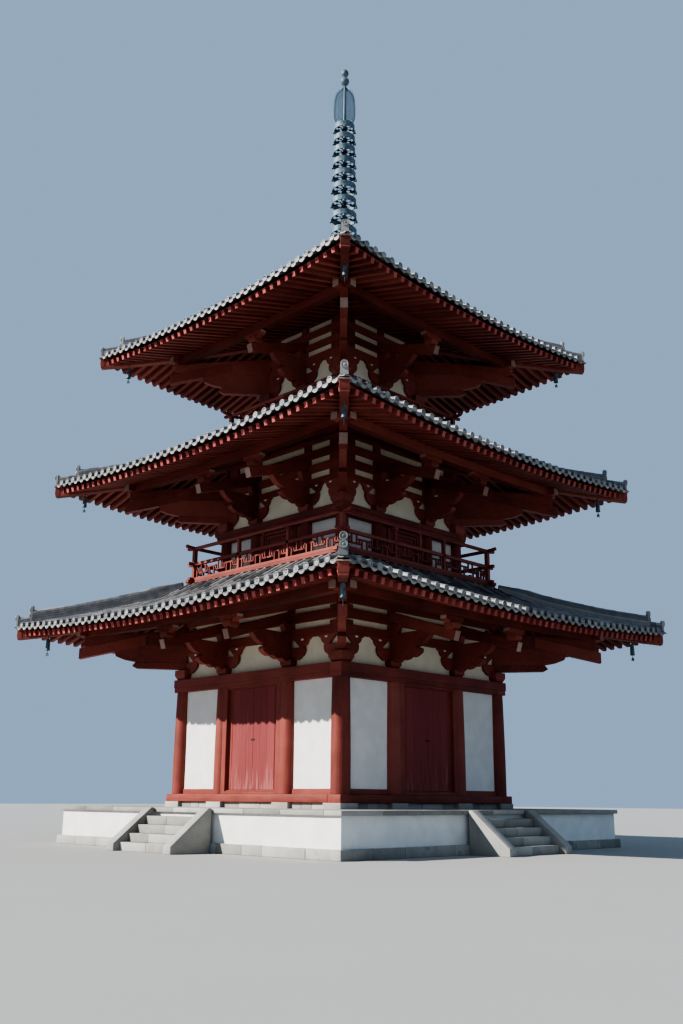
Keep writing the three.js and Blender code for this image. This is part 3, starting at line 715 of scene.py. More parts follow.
leaf = {"axis": 0.829, "plane": 3.21, "thick": 0.06, "bottom": 1.446, "top": 4.06, "near": 0.003, "boards": 3,
        "batten": 0.11, "battenIn": 0.2, "pivot": 0.025, "pivotLow": 1.414, "pivotHigh": 4.092,
        "lockHeight": 2.72, "lockIn": 0.04,
        "lock": [(0, 0), (0.03, 0), (0.03, 0.003), (0.025, 0.006), (0.01, 0.007), (0.009, 0.013), (0, 0.015)]}


def buildLeaf(side, quarter, hand, d=leaf):
    bm = bmesh.new()
    sign = 1 if hand == "right" else -1
    low, high, bottom, top = d["near"], d["axis"] - 0.004, d["bottom"], d["top"]
    front, back = d["plane"] + d["thick"] / 2, d["plane"] - d["thick"] / 2
    for u0, u1 in splitRun(low, high, d["boards"], 0.05):
        a, b = sorted((sign * (u0 + 0.0012), sign * (u1 - 0.0012)))
        box(bm, (a, -front + dice.uniform(0, 0.0015), bottom), (b, -back - 0.018, top))
    for z in (bottom + d["battenIn"], (bottom + top) / 2, top - d["battenIn"]):
        a, b = sorted((sign * (low + 0.03), sign * (high - 0.02)))
        box(bm, (a, -back - 0.02, z - d["batten"] / 2), (b, -back, z + d["batten"] / 2))
    bevelSharp(bm, 0.002)
    pin, stile = d["pivot"], d["thick"] / 2 - 0.001
    profile = [(0, d["pivotLow"]), (pin, d["pivotLow"]), (pin, bottom), (stile, bottom), (stile, top),
               (pin, top), (pin, d["pivotHigh"]), (0, d["pivotHigh"])]
    stamp(bm, turnedShape(profile, 20), facing(d["plane"], sign * d["axis"]))
    # small round lock plate by the meeting edge
    lock = Matrix.Translation((sign * (low + d["lockIn"]), -front, d["lockHeight"])) @ faceFront
    stamp(bm, turnedShape(d["lock"], 20, 1), lock)
    turnQuarter(bm, quarter, grained=False)
    makePiece(side + "_" + hand + "_door_boards", bm, [doorBoard, iron],
              [side + "_" + hand + "_door_leaf"], rider=side + "_" + hand + "_door")


buildSill()
for quarter, side in enumerate(sides):
    buildDoorway(side, quarter)
    buildCornerColumn(side, quarter)
    for hand in ("left", "right"):
        buildLeaf(side, quarter, hand)
        finishNode(side + "_" + hand + "_wall_panel", plaster)
print("ground storey made")

# brackets; points are (share of the arm's reach or metres out, share of the depth above the head beam)
bracket = {"headOut": (0.22, 0.235), "blockHalf": 0.205, "cornerHalf": 0.23, "block": 0.27,
           "cornerBlock": 0.38, "foot": 0.72, "post": 0.125, "tailWidth": 0.2, "tailHeight": 0.26,
           "tailRise": 0.33, "armThick": 0.19,
           "cloud": [(0.56, 0.36), (0.655, 0.45), (0.67, 0.7), (0.83, 0.92), (0.94, 1)],
           "notch": (0.15, 0.36, 0.68, 0.96), "eye": (0.58, 0.94, 0.055, 0.028), "reveal": 0.1, "wing": 0.36,
           "belly": [(0.19, 0.2), (0.38, 0.29), (0.7, 0.35), (0.97, 0.42), (1.05, 0.52), (1.03, 0.61)],
           "purlin": (0.22, 0.26), "purlinPast": 0.34, "bevel": 0.007}

# the corner's diagonal arms: metres out from the column, share of the depth
cornerArm = {"low": [(1.44, 0.46), (1.56, 0.55), (1.47, 0.69)], "lowFoot": 0.41, "lowWidth": 0.21,
             "mid": [(1.3, 0.67), (1.8, 0.8), (2.05, 0.93)], "midFoot": 0.65, "midWidth": 0.19,
             "midEnd": 2.15, "top": 2.98, "topHeight": 0.29, "topWidth": 0.2,
             "tailStart": 1.2, "tailSlope": 0.22, "tailWidth": 0.215, "tailBelow": 0.05, "tailAbove": 0.25}


# a block whose lower half draws in to its foot
def bearingBlock(bm, u, v, z, half, height, b=bracket):
    verts = box(bm, (u - half, -v - half, z), (u + half, -v + half, z + height), alongX)
    low = [vert for vert in verts if vert.co.z < z + height / 2]
    face = [f for f in facesOf(low) if all(vert in low for vert in f.verts)]
    moved = vertsOf(bmesh.ops.extrude_face_region(bm, geom=face)["geom"])
    bmesh.ops.delete(bm, geom=face, context="FACES")
    bmesh.ops.translate(bm, verts=low, vec=(0, 0, height * 0.45))
    bmesh.ops.scale(bm, verts=moved, vec=(b["foot"], b["foot"], 1), space=Matrix.Translation((-u, v, 0)))
    bmesh.ops.recalc_face_normals(bm, faces=list(facesOf(verts + moved)))


# head beam in two members, and the beams between the plaster strips, each lapped past one corner
def wallBeams(bm, s, b=bracket):
    wall, base, face, back = s["wall"], s["base"], s["face"], s["back"]
    bell, plateTop = base + s["depth"], podiumTop + s["eaveBottom"] + s["slope"] * (s["eave"] - wall)
    lower, upper = b["headOut"]
    levels = [(podiumTop + s["headBottom"], base - s["headStep"], wall + lower, s["headBack"]),
              (base - s["headStep"], base, wall + upper, s["headBack"])]
    strips = [(podiumTop + a, podiumTop + c) for a, c in s["strips"]]
    tops = [bell] + [c for a, c in strips]
    bottoms = [a for a, c in strips] + [plateTop - 0.01]
    for k, (low, high) in enumerate(zip(tops, bottoms)):
        levels.append((low, high, face, wall + plasterBack if k == len(strips) else back))
    for low, high, front, rear in levels:
        middle, level = (front + rear) / 2, (low + high) / 2
        bar(bm, (-front, -middle, level), (rear - 0.001, -middle, level), front - rear,
            high - low - 0.002, alongX)
    half = b["post"]
    for u in s["columns"][1:]:
        box(bm, (u - half, -face + 0.002, bell), (u + half, -back, plateTop - 0.02), upright)
        for a, c in strips:
            box(bm, (u - half - 0.03, -face - 0.02, a - 0.05), (u + half + 0.03, -back, a - 0.001), alongX)
    # beside a corner post the strips end on a broad upright, or low down on a small block
    spans = [(bell, plateTop - 0.02, s["pilaster"], 0.004)]
    if not s["pilaster"]:
        spans = [(a, a + 0.7 * (c - a), b["wing"], 0.0) for a, c in strips]
    for hand in (-1, 1):
        for low, high, inside, sunk in spans:
            u0, u1 = sorted((hand * (wall - inside), hand * (wall - half)))
            box(bm, (u0, -face + sunk, low), (u1, -back, high), upright)


# cloud-shaped arm along the wall, to one side of a column, with its notch and pale eye
def wallArm(bm, s, u, hand, b=bracket):
    columns, base, depth, reach = s["columns"], s["base"], s["depth"], s["armReach"]
    k = columns.index(u) + (0 if hand > 0 else -1)
    if not 0 <= k < len(columns) - 1:
        return
    most = (columns[k + 1] - columns[k]) / 2 - 0.03
    block = base + b["block"] * depth - 0.01
    edge = [(b["blockHalf"] - 0.005, block)]
    edge += [(min(a * reach, most), base + c * depth) for a, c in b["cloud"]]
    lower = scallops(edge, 0.14)
    near, far, low, high = b["notch"]
    low, high, top = base + low * depth, base + high * depth, base + depth + 0.02
    notch = [(0, high), (near, high), (far, low + 0.03), (far, low), (0, low)]
    if s["pilaster"] and abs(u) == s["wall"]:
        notch = []
    outline = [(0, block)] + lower + [(lower[-1][0], top), (0, top)] + notch
    thick = timberFace + 0.018
    v = s["wall"] - 0.015 + thick / 2
    plate(bm, [(hand * a, z) for a, z in outline], thick, facing(v, u), alongX)
    out, up, wide, tall = b["eye"]
    out, up = min(out * reach, most * 0.75), base + up * depth
    turns = [k * math.pi / 8 for k in range(16)]
    oval = [(hand * (out + wide * math.cos(t)), up + tall * math.sin(t)) for t in turns]
    plate(bm, oval, 0.012, facing(v + thick / 2, u), secondOwn)


# projecting arm, the tail rafter on it, and the bearer that it holds under the purlin
def projectingArm(bm, s, u, b=bracket):
    wall, base, depth, tail, purlin = s["wall"], s["base"], s["depth"], s["tailLevel"], s["purlin"]
    lean = b["tailRise"]
    half = b["tailHeight"] / 2 / math.cos(math.atan2(lean * tailOut, tailOut))
    # between the arm and the tail rafter above it a wedge stays open, where the plaster shows
    lower = scallops([(wall + a, base + c * depth) for a, c in b["belly"]], 0.13)
    lower += scallops([(wall + 0.9, base + 0.68 * depth), (wall + 1.4, tail + 0.13)], 0.12)
    armTop = podiumTop + s["strips"][0][0] - b["reveal"]
    meet = wall + tailOut - (armTop + half - tail) / lean
    heel = tail + lean * (tailOut - 0.37) - half + 0.03
    upper = [(meet, armTop + 0.02), (wall + 0.26, armTop), (wall + 0.37, heel), (wall + 0.05, heel),
             (wall + 0.05, base + b["belly"][0][1] * depth)]
    plate(bm, lower + upper, b["armThick"], outwards(u), slanting)
    bar(bm, (u, -wall, tail + lean * tailOut), (u, -s["reach"], tail), b["tailWidth"], b["tailHeight"],
        alongY, own)
    z, far = rafterUnderside(s, 0, purlin) - 0.265, b["wing"]
    bearingBlock(bm, u, purlin, z - 0.32, 0.15, 0.17)
    wing = scallops([(0.13, z - 0.19), (0.22, z - 0.12), (far, z - 0.075)], 0.12)
    outline = [(-far, z + 0.01)] + [(-a, c) for a, c in wing[::-1]] + wing + [(far, z + 0.01)]
    for end in facesOf(plate(bm, outline, b["armThick"], facing(purlin, u), alongX)):
        if abs(end.normal.x) > 0.9 and abs(abs(end.calc_center_median().x - u) - far) < 0.01:
            end.material_index = own
    box(bm, (u - 0.08, -purlin - 0.1, tail + 0.04), (u + 0.08, -purlin + 0.1, z - 0.3), slanting)


# the corner's stack of diagonal arms, each longer than the one below
def cornerArms(bm, s, paleTail, c=cornerArm):
    base, depth, tail, purlin = s["base"], s["depth"], s["tailLevel"], s["purlin"]
    top = rafterUnderside(s, purlin, purlin) - 0.245
    foot, start = s["wall"] * diagonal, (s["wall"] - 0.02) * diagonal

    def arm(points):
        return [(foot + a, base + h * depth) for a, h in points]

    low = [(start, base + c["lowFoot"] * depth)] + arm(c["low"]) + [(start, base + c["low"][-1][1] * depth)]
    under = top - c["topHeight"]
    mid = [(start, base + c["midFoot"] * depth)] + arm(c["mid"])
    mid += [(foot + c["midEnd"], under + 0.01), (start, under + 0.01)]
    upper = [(start, under), (foot + c["top"], under), (foot + c["top"], top), (start, top + 0.2)]
    near, far = c["tailStart"], tailOut * diagonal
    rise, below, above = c["tailSlope"] * (far - near), tail - c["tailBelow"], tail + c["tailAbove"]
    tailArm = [(foot + near, below + rise), (foot + far, below), (foot + far, above),
               (foot + near, above + rise)]
    for outline, width in ((low, c["lowWidth"]), (mid, c["midWidth"]), (upper, c["topWidth"])):
        plate(bm, outline, width, diagonalOut, slanting)
    for face in facesOf(plate(bm, tailArm, c["tailWidth"], diagonalOut, slanting)):
        if paleTail and face.normal.dot(Vector((1, -1, 0)).normalized()) > 0.95:
            face.material_index = own


def buildBrackets(n, s, b=bracket):
    bm = bmesh.new()
    wallBeams(bm, s)
    for u in s["columns"]:
        for hand in (-1, 1):
            wallArm(bm, s, u, hand)
    wall, base, depth, inner = s["wall"], s["base"], s["depth"], s["columns"][1:-1]
    for u in inner:
        bearingBlock(bm, u, wall - 0.01, base, b["blockHalf"], b["block"] * depth)
    bearingBlock(bm, wall, wall, base, b["cornerHalf"], b["cornerBlock"] * depth)
    for u in inner:
        projectingArm(bm, s, u)
    # purlin ring, bent up to its crossing ends
    purlin, (wide, tall) = s["purlin"], b["purlin"]
    ends = purlin + b["purlinPast"]
    points = [(u, -purlin, rafterUnderside(s, min(abs(u), purlin), purlin) - tall / 2)
              for u in spread(-ends, ends, 8)]
    bentBar(bm, points, wide, tall, alongX, own)
    cornerArms(bm, s, n > 1)
    bevelSharp(bm, b["bevel"])
    aroundFour(bm)
    makePiece("storey_%d_brackets" % n, bm, timbers + [paleEnd, plaster],
              ["storey_%d_bracket_frame" % n])


for n, s in enumerate(storeys, 1):
    buildBrackets(n, s)

# rafters, boarding, hip rafters; an eave board is (set back, deep, lifted, tall)
eaves = {"rafter": 0.118, "hip": 0.22, "hipBelow": 0.095, "sheet": 0.03, "lidWidth": 0.32,
         "boards": [(0.035, 0.07, 0, 0.06), (0.075, 0.045, 0.055, 0.055)],
         "cap": [(-0.13, -0.075), (-0.02, -0.085), (0.012, -0.02), (0.012, 0.2), (-0.13, 0.2)],
         "lid": [(-0.2, 0.2), (0.05, 0.2), (0.05, 0.235), (-0.2, 0.235)]}


# hip rafter, its capped nose and the thin plate on it
def hipRafter(bm, s, inner, e=eaves):
    hip, corner = bmesh.new(), s["corner"]
    stations = spread(inner - 0.05, corner, 8)
    upper = [(v * diagonal, rafterUnderside(s, v, v) + rafterDepth + 0.03) for v in stations]
    lower = [(v * diagonal, rafterUnderside(s, v, v) - e["hipBelow"]) for v in stations]
    plate(hip, lower + upper[::-1], e["hip"], diagonalOut, slanting)
    tip, level = corner * diagonal, rafterUnderside(s, corner, corner)
    for points, width, finish in ((e["cap"], e["hip"] + 0.016, slanting),
                                  (e["lid"], e["lidWidth"], secondOwn)):
        plate(hip, [(tip + a, level + c) for a, c in points], width, diagonalOut, finish)
    bevelSharp(hip, 0.006)
    pour(bm, hip)


def buildRafters(n, s, e=eaves):
    bm = bmesh.new()
    inner, edge = s["wall"] + plasterBack, s["eave"]
    for u in spread(0.14 - edge, edge - 0.14, s["rafters"] - 1):
        start = max(inner, abs(u) + 0.02)
        if edge - start < 0.12:
            continue
        a, c = [(u, -v, rafterUnderside(s, u, v) + rafterDepth / 2) for v in (start, edge)]
        bar(bm, a, c, e["rafter"], rafterDepth * 0.99, alongY, own)
    bevelSharp(bm, 0.005)
    # eave boards in a bent run over the rafters' noses
    for back, deep, lift, tall in e["boards"]:
        points = [(u, -(edge - back - deep / 2), rafterUnderside(s, u, edge) + rafterDepth + lift + tall / 2)
                  for u in spread(-edge - 0.02, edge + 0.02, 16)]
        bentBar(bm, points, deep, tall, alongX)
    # boarding over the rafters, one sheet a side
    sheet = bmesh.new()
    bmesh.ops.create_grid(sheet, x_segments=26, y_segments=18, size=1)
    for vert in sheet.verts:
        u, v = vert.co.x * edge, inner + (vert.co.y + 1) / 2 * (edge - 0.03 - inner)
        vert.co = (u, -v, rafterUnderside(s, u, v) + rafterDepth - 0.002)
    mitreSheet(sheet, e["sheet"])
    pour(bm, sheet)
    hipRafter(bm, s, inner)
    aroundFour(bm)
    makePiece("storey_%d_rafters_and_boards" % n, bm, timbers + [rafterEnd, paleEnd],
              ["storey_%d_rafters" % n])


# wind bell: its turned shape with a knob above, and the wind plate on its clapper
bell = {"fromCorner": 0.62, "clapper": (-0.11, -0.48, 0.012), "rib": (0.052, -0.11, 0.06, -0.37, 0.01),
        "profile": [(0, 0.02), (0.014, 0.02), (0.014, -0.06), (0.03, -0.07), (0.046, -0.085), (0.054, -0.12),
                    (0.056, -0.28), (0.063, -0.36), (0.07, -0.395), (0.062, -0.393), (0.05, -0.34),
                    (0.046, -0.14), (0, -0.1)],
        "plate": [(0.014, -0.46), (0.042, -0.5), (0.036, -0.575), (0.012, -0.555)]}


def buildBells(n, s, b=bell):
    bm = bmesh.new()
    stamp(bm, turnedShape(b["profile"], 20))
    low, high, thick = b["clapper"]
    bar(bm, (0, 0, low), (0, 0, high), thick, thick)
    half = b["plate"]
    plate(bm, [(-half[0][0], half[0][1])] + half + [(-a, c) for a, c in half[:0:-1]], thick, still)
    r0, z0, r1, z1, wide = b["rib"]
    for k in range(4):
        verts = bar(bm, (r0, 0, z0), (r1, 0, z1), wide, wide)
        bmesh.ops.transform(bm, matrix=quarterTurn(k, 4), verts=verts)
    at = s["corner"] - b["fromCorner"]
    bmesh.ops.transform(bm, matrix=diagonalOut, verts=bm.verts[:])
    bmesh.ops.translate(bm, verts=bm.verts[:], vec=(at, -at, rafterUnderside(s, at, at) - eaves["hipBelow"]))
    aroundFour(bm, grained=False)
    makePiece("storey_%d_wind_bells" % n, bm, [bronze], ["storey_%d_rafters" % n])


for n, s in enumerate(storeys, 1):
    buildRafters(n, s)
    buildBells(n, s)

# tiled roofs: pans, round covers, discs at the eaves, ridges down the hips; a tier is (tall, wide, layers)
tiling = {"course": 0.29, "radius": 0.078, "sag": 0.045, "sink": 0.08, "panStep": 0.016, "panThick": 0.028,
          "disc": 0.083, "discThick": 0.034, "sides": 12, "start": 0.02, "lipDrop": 0.075, "lipThick": 0.03,
          "upperTier": (0.33, 0.23, 4), "lowerTier": (0.165, 0.17, 2), "shelfHead": 0.12, "cap": 0.085,
          "capCourse": 0.3, "upperEnd": (0.44, 0.19, 2), "lowerEnd": (0.21, 0.18, 1)}


def halfRound(length, radius, taper, t=tiling):
    bm = bmesh.new()
    bmesh.ops.create_cone(bm, cap_ends=True, segments=t["sides"], radius1=radius, radius2=radius - taper,
                          depth=length, matrix=Matrix.Rotation(-math.pi / 2, 4, "X"))
    cut = bmesh.ops.bisect_plane(bm, geom=wholeOf(bm), plane_co=(0, 0, -0.012), plane_no=(0, 0, -1),
                                 clear_outer=True)["geom_cut"]
    bmesh.ops.contextual_create(bm, geom=[g for g in cut if isinstance(g, bmesh.types.BMEdge)])
    bmesh.ops.recalc_face_normals(bm, faces=bm.faces[:])
    return keepShape(bm)


# a round end tile: raised rim, sunk field, low boss in the middle
def discShape(r, thick):
    low = thick - 0.008
    return turnedShape([(0, 0), (r * 0.97, 0), (r, 0.006), (r, thick - 0.004), (r * 0.97, thick),
                        (r * 0.82, thick), (r * 0.78, low), (r * 0.42, low), (r * 0.34, low + 0.006),
                        (0, thick)], 18, 1)


# the drooping lip of an eave pan, between two discs
def lipShape(width, t=tiling):
    bm = bmesh.new()
    half = width / 2
    upper = [(half * a, -0.052 * (1 - a * a)) for a in spread(-1, 1, 8)]
    lower = [(a, z - t["lipDrop"] * (0.5 + 0.5 * (1 - (a / half) ** 2))) for a, z in upper[::-1]]
    plate(bm, upper + lower, t["lipThick"], still)
    bevelSharp(bm, 0.004)
    return keepShape(bm, 1)


# a half-round tile is laid from one point of the roof to the next
def tilePlace(a, c, x=None):
    y = (c - a).normalized()
    return axesAt(x or y.cross(Vector((0, 0, 1))).normalized(), y, (a + c) / 2)


# pans: a sheet that sags between the covers and steps down at each course
def layPans(bm, s, edge, head, pitch, t=tiling):
    courses = round((edge - head) * 1.07 / t["course"])
    columns, rows = s["tileRows"] * 4, courses * 2
    sheet = bmesh.new()
    bmesh.ops.create_grid(sheet, x_segments=columns, y_segments=rows, size=1)
    for vert in sheet.verts:
        column, row = round((vert.co.x + 1) / 2 * columns), round((vert.co.y + 1) / 2 * rows)
        phase = (column % 4) / 4
        sag = -t["sag"] * math.sin(math.pi * ((phase + 0.5) % 1)) if phase != 0.5 else 0.0
        u = -edge + column * pitch / 4
        v = max(head, edge - (edge - head) * (row // 2 + (0.04 if row % 2 else 0)) / courses)
        step = -t["panStep"] if row % 2 == 0 and row > 0 else 0.0
        vert.co = (u, -v, tileCrown(s, u, v) - t["sink"] + sag + step)
    mitreSheet(sheet, -t["panThick"])
    bm.from_mesh(keepShape(sheet))


# covers, course by course up each row, until the hip or the roof's head; a disc closes each row's foot
def layCovers(bm, s, edge, head, marks, t=tiling):
    radius, course = t["radius"], t["course"]
    cover, disc = halfRound(course + 0.03, radius, 0.009), discShape(t["disc"], t["discThick"])
    for u in marks:
        stop, v = max(head, abs(u) + 0.02), edge - t["start"]
        while v - course * 0.5 > stop:
            end = max(v - course, stop)
            a, c = [Vector((u, -w, tileCrown(s, u, w) - radius)) for w in (v, end)]
            stretch = Matrix.Scale((c - a).length / course, 4, (0, 1, 0))
            stamp(bm, cover, tilePlace(a, c, Vector((1, 0, 0))) @ stretch)
            if v == edge - t["start"]:
                stamp(bm, disc, Matrix.Translation((u, -edge + 0.022, a.z)) @ faceFront)
            v = end


def layLips(bm, s, edge, marks, pitch, t=tiling):
    lip = lipShape(pitch - 0.08)
    for u0, u1 in zip(marks, marks[1:]):
        u = (u0 + u1) / 2
        tilt = math.atan2(tileCrown(s, u1, edge) - tileCrown(s, u0, edge), pitch)
        place = Matrix.Translation((u, -edge + 0.02, tileCrown(s, u, edge) - t["radius"] - 0.012))
        stamp(bm, lip, place @ Matrix.Rotation(-tilt, 4, "Y"))


# one tier of a hip ridge: stacked flat tiles under a round cap, lower where it starts if it has a shelf
def layRidge(bm, s, start, end, tier, headTall, t=tiling):
    tall, wide, layers = tier

    def top(v):
        return headTall + (tall - headTall) * min(1, (v - start) / 0.6)

    stations, parts = spread(start, end, 12), layers + 0.9
    for k in range(layers):
        low, high = [], []
        for v in stations:
            level = tileCrown(s, v, v)
            low.append((v * diagonal, level + (top(v) * k / parts if k else -0.12)))
            high.append((v * diagonal, level + top(v) * (k + 1) / parts - 0.008))
        plate(bm, low + high[::-1], wide - 0.05 * k / layers, diagonalOut)
    cap = halfRound(t["capCourse"] + 0.03, t["cap"], 0.008)
    marks = spread(end, start, round((end - start) * diagonal / t["capCourse"]))
    for a, c in zip(marks, marks[1:]):
        a, c = [Vector((v, -v, tileCrown(s, v, v) + top(v) - 0.1)) for v in (a, c)]
        stamp(bm, cap, tilePlace(a, c))


# a ridge ends in round tiles, one above the other, in front of a narrow backing
def endTile(bm, s, at, size):
    tall, wide, discs = size
    place = Matrix.Translation((at, -at, tileCrown(s, at, at))) @ diagonalOut @ quarterTurn(1, 4)
    half = wide / 2
    rim = [(-half, -0.1), (-half, tall * 0.8), (-half * 0.6, tall), (half * 0.6, tall), (half, tall * 0.8),
           (half, -0.1)]
    plate(bm, rim, 0.05, place, 1)
    for k in range(discs):
        level = tall - wide * 0.45 - k * wide * 0.95
        stamp(bm, discShape(wide * 0.48, 0.05), place @ Matrix.Translation((0, -0.015, level)) @ faceFront)


def buildRoof(n, s, t=tiling):
    bm = bmesh.new()
    edge, head, rows = s["roof"][0][0], s["roof"][4][0], s["tileRows"]
    pitch = 2 * edge / rows
    marks = [pitch * (k - (rows - 1) / 2) for k in range(rows)]
    layPans(bm, s, edge, head, pitch)
    layCovers(bm, s, edge, head, marks)
    layLips(bm, s, edge, marks, pitch)
    upper, lower, turn = t["upperTier"], t["lowerTier"], s["ridgeEnd"]
    layRidge(bm, s, s["ridgeHead"], turn, upper, t["shelfHead"] if n < 3 else upper[0])
    layRidge(bm, s, turn - 0.03, edge - 0.1, lower, lower[0])
    endTile(bm, s, turn + 0.02, t["upperEnd"])
    endTile(bm, s, edge - 0.085, t["lowerEnd"])
    aroundFour(bm, grained=False)
    makePiece("storey_%d_roof_tiles" % n, bm, [tile, tileFront], ["storey_%d_tile_roof" % n],
              smooth=40)


for n, s in enumerate(storeys, 1):
    buildRoof(n, s)
print("roofs made")

# upper storeys: wall frames, fixed doors, railings
upperWall = {"sill": (0.34, 0.2), "frame": 0.09, "frameStep": 0.05, "frameOut": 0.12, "footRadius": 0.18,
             "headRadius": 0.172, "battens": (0.42, -0.32)}


# two frames, one stepping back inside the other
def nestedFrame(bm, half, low, high, front, back, w=upperWall):
    width = w["frame"]
    for k in range(2):
        a, z0, z1, plane = half - k * width, low + k * width, high - k * width, front - k * w["frameStep"]
        middle, deep = -(plane + back) / 2, plane - back
        for u in (width / 2 - a, a - width / 2):
            bar(bm, (u, middle, z0), (u, middle, z1), width, deep, upright)
        for z in (z0 + width / 2, z1 - width / 2):
            bar(bm, (-a + width, middle, z), (a - width, middle, z), deep, width, alongX)


def buildUpperWall(n, s, w=upperWall):
    bm = bmesh.new()
    wall, foot, head = s["wall"], s["floor"], podiumTop + s["headBottom"]
    back, door, (deep, tall) = wall - timberBack - 0.0002, s["doorHalf"], w["sill"]
    low = foot + tall
    bar(bm, (-wall - deep / 2, -wall, foot + tall / 2), (wall - deep / 2 - 0.001, -wall, foot + tall / 2),
        deep, tall, alongX)
    if door:
        half, board = door + 0.1, (door - 0.02) / 2
        nestedFrame(bm, half, low, head, wall + w["frameOut"], back)
        for hand in (-1, 1):
            a, c = sorted((hand * half, hand * (s["columns"][2] - 0.06)))
            box(bm, (a, -wall - 0.05, low), (c, -back, head), upright)
        for k in range(4):
            u = -door + 0.02 + k * board
            box(bm, (u + 0.002, -wall - 0.035, low), (u + board - 0.002, -back, head), own)
        for z in (foot + w["battens"][0], head + w["battens"][1]):
            box(bm, (-door + 0.1, -wall - 0.06, z - 0.05), (door - 0.1, -wall - 0.03, z + 0.05), alongX)
    bevelSharp(bm, 0.006)
    shape = columnShape(w["footRadius"], w["headRadius"], low - 0.01, head, 28)
    for u in s["columns"][1:]:
        stamp(bm, shape, facing(wall, u))
    aroundFour(bm)
    makePiece("storey_%d_posts_and_doors" % n, bm, timbers + [doorBoard],
              ["storey_%d_wall_frame" % n])


# a rail is (from, to, wide, past the corner); heights count from the railing's foot
railing = {"rails": [(0, 0.085, 0.15, 0.26), (0.09, 0.17, 0.115, 0.2), (0.54, 0.63, 0.09, 0.24)],
           "key": 0.046, "cell": 0.42, "post": 0.09, "cornerPost": 0.115, "middlePost": 0.07, "top": 1.07,
           "topRadius": 0.052, "topPast": 0.32, "block": 0.065}


# broken-key lattice between two posts: a square wave with a leg from the middle of each run
def keyLattice(bm, start, end, v, low, high, r=railing):
    cells = max(2, round((end - start) / r["cell"]))
    width, size = (end - start) / cells, r["key"]
    lowRun, highRun = low + (high - low) * 0.34, low + (high - low) * 0.68

    def line(u0, z0, u1, z1):
        bar(bm, (u0, -v, z0), (u1, -v, z1), size * 0.9, size, upright if u0 == u1 else alongX)

    for k in range(cells):
        a = start + k * width
        za, zb, endA, endB = (lowRun, highRun, high, low) if k % 2 else (highRun, lowRun, low, high)
        line(a - (width * 0.1 if k else 0), za, a + width * 0.6, za)
        line(a + width * 0.5, lowRun - size / 2, a + width * 0.5, highRun + size / 2)
        line(a + width * 0.4, zb, a + width, zb)
        line(a + width * 0.25, za, a + width * 0.25, endA)
        line(a + width * 0.75, zb, a + width * 0.75, endB)


def buildRailing(n, s, r=railing):
    bm = bmesh.new()
    half, foot, posts = s["railHalf"], s["floor"], s["railPosts"]
    v, top = half, foot + r["top"]
    for low, high, wide, past in r["rails"]:
        level = foot + (low + high) / 2
        bar(bm, (-half - past, -v, level), (half + past, -v, level), wide, high - low, alongX)
    thick, block = r["post"], r["block"]
    for u in posts:
        bar(bm, (u, -v, foot + 0.16), (u, -v, top - 0.02), thick, thick, upright)
        box(bm, (u - block, -v - block, top - 0.12), (u + block, -v + block, top - 0.05), upright)
    thick = r["cornerPost"]
    bar(bm, (half, -v, foot + 0.1), (half, -v, top), thick, thick, upright)
    marks, (low, high) = [-half] + posts + [half], (foot + r["rails"][1][1], foot + r["rails"][2][0])
    for a, c in zip(marks, marks[1:]):
        keyLattice(bm, a + 0.05, c - 0.05, v, low, high)
    thick = r["middlePost"]
    bar(bm, (0, -v, foot + r["rails"][2][1]), (0, -v, top - 0.05), thick, thick, upright)
    bevelSharp(bm, 0.005)
    # round top rail, its ends drawn up a little past the corner
    length, radius = half + r["topPast"], r["topRadius"]
    rightEnd = [(half - 0.05, 0), (length - 0.12, 0.012), (length, 0.03)]
    line = [(-u, rise) for u, rise in rightEnd[::-1]] + [(0, 0)] + rightEnd
    for (u0, rise0), (u1, rise1) in zip(line, line[1:]):
        a, c = Vector((u0, -v, top + rise0)), Vector((u1, -v, top + rise1))
        rod = bmesh.new()
        bmesh.ops.create_cone(rod, cap_ends=True, segments=14, radius1=radius, radius2=radius,
                              depth=(c - a).length + 0.004)
        turn = (c - a).to_track_quat("Z", "Y").to_matrix().to_4x4()
        stamp(bm, keepShape(rod, alongX), Matrix.Translation((a + c) / 2) @ turn)
    aroundFour(bm)
    makePiece("storey_%d_key_railing" % n, bm, timbers, ["storey_%d_railing" % n])


for n, s in enumerate(storeys, 1):
    if n > 1:
        buildUpperWall(n, s)
        buildRailing(n, s)
    # the plaster above each head beam takes the warm tint, partly painted bounce light off the red timber
    bounceWarmedPlaster = plasterFinish("cream_and_bounce_plaster_%d" % n, podiumTop + s["headBottom"] + 0.1)
    finishNode("storey_1_plaster_frieze" if n == 1 else "storey_%d_plaster_wall" % n, bounceWarmedPlaster)
print("upper storeys made")

# finial: profiles are (radius, height above its foot), a tier is (past the half width, from, to)
# and the panels are (first, apart, wide, from, to)
finial = {"low": 17.45, "half": 0.56, "large": 0.43, "small": 0.345, "shaft": 0.075, "shaftFoot": 1.2003,
          "rings": [19.13, 19.704, 20.248, 20.774, 21.259, 21.724, 22.193, 22.642, 23.09],
          "flameLow": 23.2253, "flameTop": 24.634, "tip": 25.355,
          "tiers": [(0.06, 0.0003, 0.05), (0.02, 0.05, 0.11), (-0.04, 0.11, 0.42), (0, 0.42, 0.48),
                    (0.04, 0.48, 0.56)],
          "panels": (-0.5, 0.345, 0.31, 0.15, 0.38),
          "bowl": [(0, 0.55), (0.43, 0.55), (0.435, 0.6), (0.425, 0.64), (0.41, 0.72), (0.37, 0.83),
                   (0.31, 0.91), (0.24, 0.96), (0.17, 0.99), (0.15, 1.01), (0.16, 1.03), (0, 1.03)],
          "petal": [(0.10, 1.02), (0.2, 1.04), (0.3, 1.09), (0.37, 1.18), (0.385, 1.215), (0.33, 1.17),
                    (0.2, 1.1), (0.1, 1.09)],
          "seat": [(0, 1.02), (0.16, 1.05), (0.2, 1.14), (0.13, 1.2), (0, 1.2)]}


